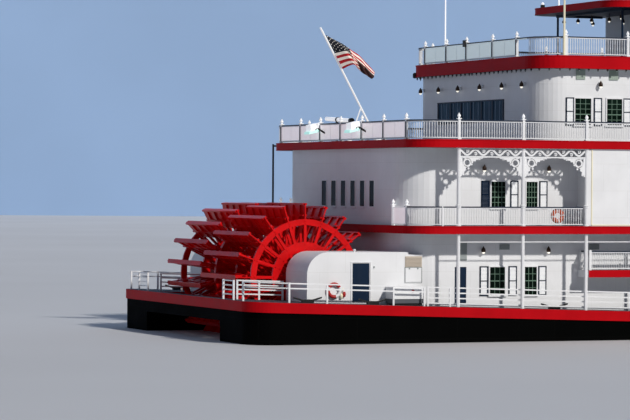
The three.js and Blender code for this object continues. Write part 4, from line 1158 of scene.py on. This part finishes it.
def housing_fittings():
    """Door casing, locker, louvre and small gear on each drive housing, and the chest beside it, with painted shade on
    the chest's lower part.
    """
    made = Shape()
    wall = side_wall(SIDE_WALL)
    foot = main_top(1.5) + 0.02
    wall.boxes(made, [
        ((1.04, 1.1), (foot, 4.4), (0.0, 0.035), 0),
        ((2.2, 2.26), (foot, 4.4), (0.0, 0.035), 0),
        ((1.04, 2.26), (4.4, 4.46), (0.0, 0.035), 0),
        ((2.4, 2.46), (4.1, 4.2), (0.0, 0.06), 1),
        ((4.3, 5.31), (4.14, 4.74), (0.0, 0.05), 2),
    ])
    wall.slats(made, (4.35, 5.26), 4.19, 7, 0.075, 0.035, (0.05, 0.08), 2)
    wall.boxes(made, [
        ((4.34, 5.28), (3.32, 4.1), (0.0, 0.03), 0),
        ((4.28, 4.3), (3.26, 4.14), (0.0, 0.035), 1),
        ((5.31, 5.33), (3.26, 4.14), (0.0, 0.035), 1),
        ((4.28, 5.33), (3.26, 3.28), (0.0, 0.035), 1),
        ((4.28, 5.33), (4.1, 4.14), (0.0, 0.035), 1),
        ((4.52, 4.6), (4.02, 4.1), (0.03, 0.06), 1),
        ((5.02, 5.1), (4.02, 4.1), (0.03, 0.06), 1),
    ])
    deck = main_top(4)
    # The chest: white above, a lower band in the dark deckhead paint as painted shade, and a black plinth as painted
    # shadow under it.
    made.box((3.12, 5.02), (-10.62, -9.52), (deck + 0.36, deck + 1.02), 0)
    made.box((3.14, 5.0), (-10.58, -9.52), (deck + 0.12, deck + 0.36), 5)
    made.box((3.2, 4.92), (-10.5, -9.55), (deck, deck + 0.12), 4)
    made.rod((4.3, -10.62, deck + 0.8), (4.3, -10.65, deck + 0.8), 0.08, 12, mark=3)
    made.turned((1.38, -9.2, 4.98), [(0.05, 0.0), (0.05, 0.08), (0.09, 0.1), (0.09, 0.14), (0.0, 0.17)])
    materials = ["trim", "grey", "tan", "buoy_red", "black", "deckhead_and_shade"]
    piece("housing_fittings", made.both_sides(), materials, bevel=0.008)


BUOY_SEGMENTS = 24
BUOY_SIDES = 8
ALL_BUT_FOUR_BANDS = [i for i in range(BUOY_SEGMENTS) if i % 6]
UPPER_AND_LEFT = [*range(2, 10), *range(12, 19)]
# Floats beside the lower ring: place, profile and mark.
FLOATS = [
    ((0.62, -9.6, 2.5), [(0.0, 0.0), (0.07, 0.03), (0.09, 0.16), (0.07, 0.3)], 1),
    ((0.45, -9.6, 2.42), [(0.0, 0.0), (0.08, 0.03), (0.09, 0.16), (0.06, 0.3)], 2),
    ((0.55, -9.6, 2.84), [(0.05, 0.0), (0.07, 0.06), (0.04, 0.12), (0.0, 0.16)], 2),
]


def life_ring(centre, reds, radius, thick):
    """A lifebuoy that faces starboard, with coloured cloth on the segments named."""
    turn = Vector((0, -1, 0)).to_track_quat("Z", "Y")
    points, faces = [], []
    for i in range(BUOY_SEGMENTS):
        angle, j = tau * i / BUOY_SEGMENTS, (i + 1) % BUOY_SEGMENTS
        for k in range(BUOY_SIDES):
            around, n = tau * k / BUOY_SIDES, (k + 1) % BUOY_SIDES
            reach = radius + thick * cos(around)
            local = Vector((reach * cos(angle), reach * sin(angle), thick * sin(around)))
            points.append(Vector(centre) + turn @ local)
            faces.append((i * BUOY_SIDES + k, j * BUOY_SIDES + k, j * BUOY_SIDES + n, i * BUOY_SIDES + n))
    made = Shape().add(points, faces)
    made.marks = [int(i in reds) for i in range(BUOY_SEGMENTS) for _ in range(BUOY_SIDES)]
    return made


def life_rings():
    gallery = life_ring((13.02, -10.9, 7.02), ALL_BUT_FOUR_BANDS, 0.3, 0.13)
    piece("gallery_life_rings", gallery.both_sides(), ["trim", "buoy"], smooth=True)
    lower = life_ring((0.01, -9.62, 2.88), UPPER_AND_LEFT, 0.35, 0.1)
    for at, profile, mark in FLOATS:
        lower.turned(at, profile, mark=mark)
    piece("housing_life_rings", lower.both_sides(), ["trim", "buoy_red", "cream_painted_glow"], smooth=True)


# Gear on the third and fourth decks at the stern

# A floodlight's lens and its case: half sizes, place outboard and up, and mark.
FLOODLIGHT = [((0.32, 0.42, 0.08), -0.05, 0.0, 1), ((0.28, 0.38, 0.2), 0.07, 0.24, 0)]
# The raft canister's ends, and the feet that carry it: where they stand and how high they reach.
CANISTER = Vector((5.4, 4.86, 12.66)), Vector((5.4, 0.8, 12.46))
CANISTER_FEET = [(3.2, 12.58), (1.1, 12.46)]
# Poles on the fourth deck and the canopy roof: place, height of the top, radius, mark.
POLES = [(14.15, -9.34, 21.3, 0.07, 2), (12.95, 4.3, 22.3, 0.05, 0), (19.5, 2.04, 21.4, 0.05, 0)]
PIPE_AT = (4.3, 10.82)


def floodlight(shape, y):
    """A floodlight on a bent arm outboard of the stern rail: its wide lens looks down at the wheel."""
    x, z = DECK_3.aft - 0.28, DECK_3.top + 0.6
    tilt = Matrix.Rotation(radians(-14), 3, "Y")
    for size, out, up, mark in FLOODLIGHT:
        corners = []
        for dz in (-1, 1):
            for dx, dy in ((-1, -1), (1, -1), (1, 1), (-1, 1)):
                local = Vector((out + dx * size[0] + dz * 0.04, dy * size[1], up + dz * size[2]))
                corners.append(Vector((x, y, z)) + tilt @ local)
        shape.tube(corners, 4, mark)
    shape.rod((x + 0.2, y - 0.3, z + 0.2), (DECK_3.aft + RAIL_INSET, y - 0.85, DECK_3.top + 0.5), 0.06, mark=2)
    for dy in (-0.45, 0.45):
        shape.rod((x + 0.02, y + dy, z + 0.1), (x + 0.32, y + dy * 0.5, z + 0.3), 0.035, 6, mark=2)


def raft_canister():
    made, deck = Shape(), DECK_3.top
    line = CANISTER[1] - CANISTER[0]
    turn, length = line.to_track_quat("Z", "Y"), line.length
    body = [(0.0, 0.0), (0.1, 0.01), (0.125, 0.05), (0.125, length - 0.05), (0.1, length)]
    made.turned(CANISTER[0], body, 18, turn)
    made.turned(CANISTER[0].lerp(CANISTER[1], 0.42), [(0.15, 0.0), (0.15, 0.16)], 18, turn, 1)
    made.turned(CANISTER[0].lerp(CANISTER[1], 0.93), [(0.17, 0.0), (0.17, 0.22), (0.1, 0.3)], 12, turn, 1)
    for y, high in CANISTER_FEET:
        made.box((5.34, 5.46), (y - 0.06, y + 0.06), (deck, high), 1)
        made.box((5.1, 5.7), (y - 0.12, y + 0.12), (deck, deck + 0.06), 1)
    piece("raft_canister", made, ["bright", "black"])


def poles_and_boxes():
    """Poles, the dark pipe at the port corner, and the small boxes and the lamp of the upper decks."""
    made, deck = Shape(), DECK_4.top
    for x, y, top, radius, mark in POLES:
        foot = ROOF.top if x > ROOF.aft else deck
        made.rod((x, y, foot), (x, y, top), radius, 12, radius * 0.7, mark)
        made.turned((x, y, top), [(radius, 0.0), (radius + 0.02, 0.06), (radius, 0.12), (0.0, 0.16)], mark=mark)
    made.rod((*PIPE_AT, DECK_2.under), (*PIPE_AT, DECK_3.top - 0.05), 0.06, 10, mark=1)
    for z in (DECK_2.under + 0.3, DECK_3.under + 0.3):
        made.box((4.3, 4.9), (10.79, 10.85), (z - 0.05, z + 0.05), 1)
    made.box((12.56, 12.72), (0.76, 0.96), (deck + RAIL_TOP - 0.2, deck + RAIL_TOP + 0.2), 1)
    made.turned((19.35, 3.95, ROOF.top), [(0.14, 0.0), (0.14, 0.16), (0.08, 0.2)], mark=1)
    made.turned((19.35, 3.95, ROOF.top + 0.2), [(0.09, 0.0), (0.09, 0.1), (0.0, 0.16)])
    knob = (DECK_4.aft + 0.08, DECK_4.half - 1.17, DECK_4.under - 0.05)
    made.turned(knob, [(0.08, 0.0), (0.13, 0.06), (0.13, 0.28), (0.06, 0.34)], mark=1)
    piece("poles", made, ["bright", "black", "cream_painted_glow"])


def stern_gear():
    lights = Shape()
    for y in (3.3, -2.9):
        floodlight(lights, y)
    piece("floodlights", lights, ["bright", "lens", "black"], bevel=0.02)
    raft_canister()
    poles_and_boxes()


# Chimneys and pilothouse

CHIMNEY_X = 44.6
CHIMNEY_Y = 3.4
CHIMNEY_BANDS = (1.6, 3.6, 5.6, 8.4)
CHIMNEY_BAND = [(0.57, 0.0), (0.6, 0.02), (0.6, 0.1), (0.57, 0.12)]
# A crown has beads round its rim, each from one radius and height to the next.
CROWN_BEADS = 16
CROWN_BEAD = ((1.0, 10.88), (0.99, 10.9))


def chimney_dressing():
    made = Shape()
    z = DECK_4.top
    for y in (-CHIMNEY_Y, CHIMNEY_Y):
        for h in CHIMNEY_BANDS:
            made.turned((CHIMNEY_X, y, z + h), CHIMNEY_BAND, 24)
        for i in range(CROWN_BEADS):
            angle = tau * i / CROWN_BEADS
            made.rod(*[(CHIMNEY_X + r * cos(angle), y + r * sin(angle), z + h) for r, h in CROWN_BEAD], 0.05, 6)
    piece("chimney_bands", made, "black")


# Heights of the pilothouse's panes above its floor, and how deep the sill under them is.
GLAZING = (1.0, 2.4)
SILL = 0.08


def pilothouse_dressing():
    (x0, y0, z0), (x1, y1, _) = real_box("pilothouse")
    made = Shape()
    z, sill = (z0 + GLAZING[0], z0 + GLAZING[1]), (z0 + GLAZING[0] - SILL, z0 + GLAZING[0])
    for y in (y0 + 0.05, y1 - 0.05):
        made.box((x0 + 0.14, x1 - 0.14), (y - 0.01, y + 0.01), z, 1)
    for x in (x0 + 0.05, x1 - 0.05):
        made.box((x - 0.01, x + 0.01), (y0 + 0.14, y1 - 0.14), z, 1)
    for y in ((y0 - 0.05, y0), (y1, y1 + 0.05)):
        made.box((x0 - 0.05, x1 + 0.05), y, sill)
    for x in ((x0 - 0.05, x0), (x1, x1 + 0.05)):
        made.box(x, (y0, y1), sill)
    piece("pilothouse_glazing", made, ["trim", "glass"])


# Flag

# The cloth's shape: rows run out from the pole, and each goes from the upper edge to the lower.
FLAG_SHAPE = np.array([
    [(3.33, 0.00, 17.43), (3.60, 0.00, 16.93), (3.88, 0.00, 16.44), (4.15, 0.00, 15.95), (4.43, 0.00, 15.46)],
    [(4.13, 0.02, 17.06), (4.21, -0.55, 16.81), (4.29, -0.96, 16.50), (4.56, -0.85, 16.10), (4.94, -0.46, 15.72)],
    [(4.89, 0.10, 16.67), (4.85, -0.32, 16.31), (4.90, -0.56, 16.01), (5.17, -0.23, 15.73), (5.51, 0.28, 15.49)],
    [(5.60, 0.35, 16.29), (5.44, -0.18, 15.94), (5.63, 0.12, 15.70), (5.88, 0.56, 15.48), (6.17, 1.09, 15.30)],
    [(6.25, 0.68, 15.85), (6.06, 0.24, 15.56), (6.27, 0.67, 15.38), (6.50, 1.17, 15.24), (6.73, 1.67, 15.12)],
    [(6.90, 1.01, 15.34), (6.68, 0.56, 15.17), (6.85, 1.03, 15.07), (7.02, 1.55, 15.02), (7.20, 2.08, 15.00)],
])
FLAG_STEPS = 90
STRIPES = 13
STRIPE_STEPS = 3
CANTON_ROWS = 7
CANTON_SHARE = 0.4
# Past this share of the fly and below this stripe the cloth hangs double, so no light comes through it; there it takes
# darker cloths, painted shade of the fold.
FOLD_START = 0.52
FOLD_STRIPE = 3
RIPPLE = 0.13
STAR_ROWS = 9
STAR_REACH = (0.042, 0.017)
STAR_LIFT = 0.012


def eased(rows, at):
    """A smooth curve through rows of points, from 0 at the first to 1 at the last."""
    place = at * (len(rows) - 1)
    i = min(int(place), len(rows) - 2)
    t = place - i
    before, after = rows[max(i - 1, 0)], rows[min(i + 2, len(rows) - 1)]
    a, b = rows[i], rows[i + 1]
    return 0.5 * (
        2 * a + (b - before) * t + (2 * before - 5 * a + 4 * b - after) * t ** 2
        + (3 * a - before - 3 * b + after) * t ** 3
    )


def flag_point(u, v):
    """A point of the flag: u runs out from the pole and v up from the lower edge."""
    point = eased(np.array([eased(row, 1 - v) for row in FLAG_SHAPE]), u)
    wave = sin(u * 19 + v * 9) * RIPPLE * min(u * 4, 1.0)
    return point + np.array([0.35, 0.9, 0.2]) * wave


def flag_stars():
    """Nine rows of stars, six and five by turns, a little off both faces of the cloth."""
    stars = Shape()
    for row in range(STAR_ROWS):
        for place in range(6 - row % 2):
            u = CANTON_SHARE * (1 + row % 2 + 2 * place) / 12
            v = 1 - (row + 1) / 10 * CANTON_ROWS / STRIPES
            centre = flag_point(u, v)
            right, up = flag_point(u + 0.01, v) - centre, flag_point(u, v + 0.01) - centre
            right /= np.linalg.norm(right)
            normal = np.cross(right, up / np.linalg.norm(up))
            normal /= np.linalg.norm(normal)
            up = np.cross(normal, right)
            for side in (-1, 1):
                middle = centre + normal * side * STAR_LIFT
                ring = []
                for k in range(10):
                    angle = pi / 2 + k * pi / 5
                    ring.append(middle + (right * cos(angle) + up * sin(angle)) * STAR_REACH[k % 2])
                stars.add([middle, *ring], [(0, 1 + k, 1 + (k + 1) % 10) for k in range(10)])
    return stars


def make_flag():
    across, down = FLAG_STEPS, STRIPES * STRIPE_STEPS
    points = [flag_point(i / across, 1 - j / down) for j in range(down + 1) for i in range(across + 1)]
    faces, marks = [], []
    for j in range(down):
        stripe = j // STRIPE_STEPS
        for i in range(across):
            a = j * (across + 1) + i
            faces.append((a, a + 1, a + across + 2, a + across + 1))
            canton = stripe < CANTON_ROWS and (i + 0.5) / across < CANTON_SHARE
            # Faces of the fold take the dark cloths: painted shade.
            under = i / across > FOLD_START and stripe > FOLD_STRIPE
            marks.append(2 if canton else stripe % 2 + (3 if under else 0))
    made = Shape().add(points, faces)
    made.marks = marks
    cloths = ["cloth_red", "cloth_white", "cloth_blue", "fold_red_painted_shade", "fold_white_painted_shade"]
    flag = piece("flag_cloth", made, cloths, smooth=True)
    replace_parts(flag, "flag")
    star_piece = piece("flag_stars", flag_stars(), "cloth_white")


make_camera()
make_lights()
make_stage()
finish_nodes()
upper_rail("deck_3", DECK_3, FIRST_COLUMN, STERN_POSTS_3)
upper_rail("deck_4", DECK_4, FIRST_POST_4, STERN_POSTS_4)
lower_rails()
mezzanine_rails()
side_openings()
front_openings()
stern_openings()
lanterns()
make_gallery()
wheel_dressing()
fascia_trim()
wall_fittings()
housing_fittings()
life_rings()
stern_gear()
chimney_dressing()
pilothouse_dressing()
make_flag()
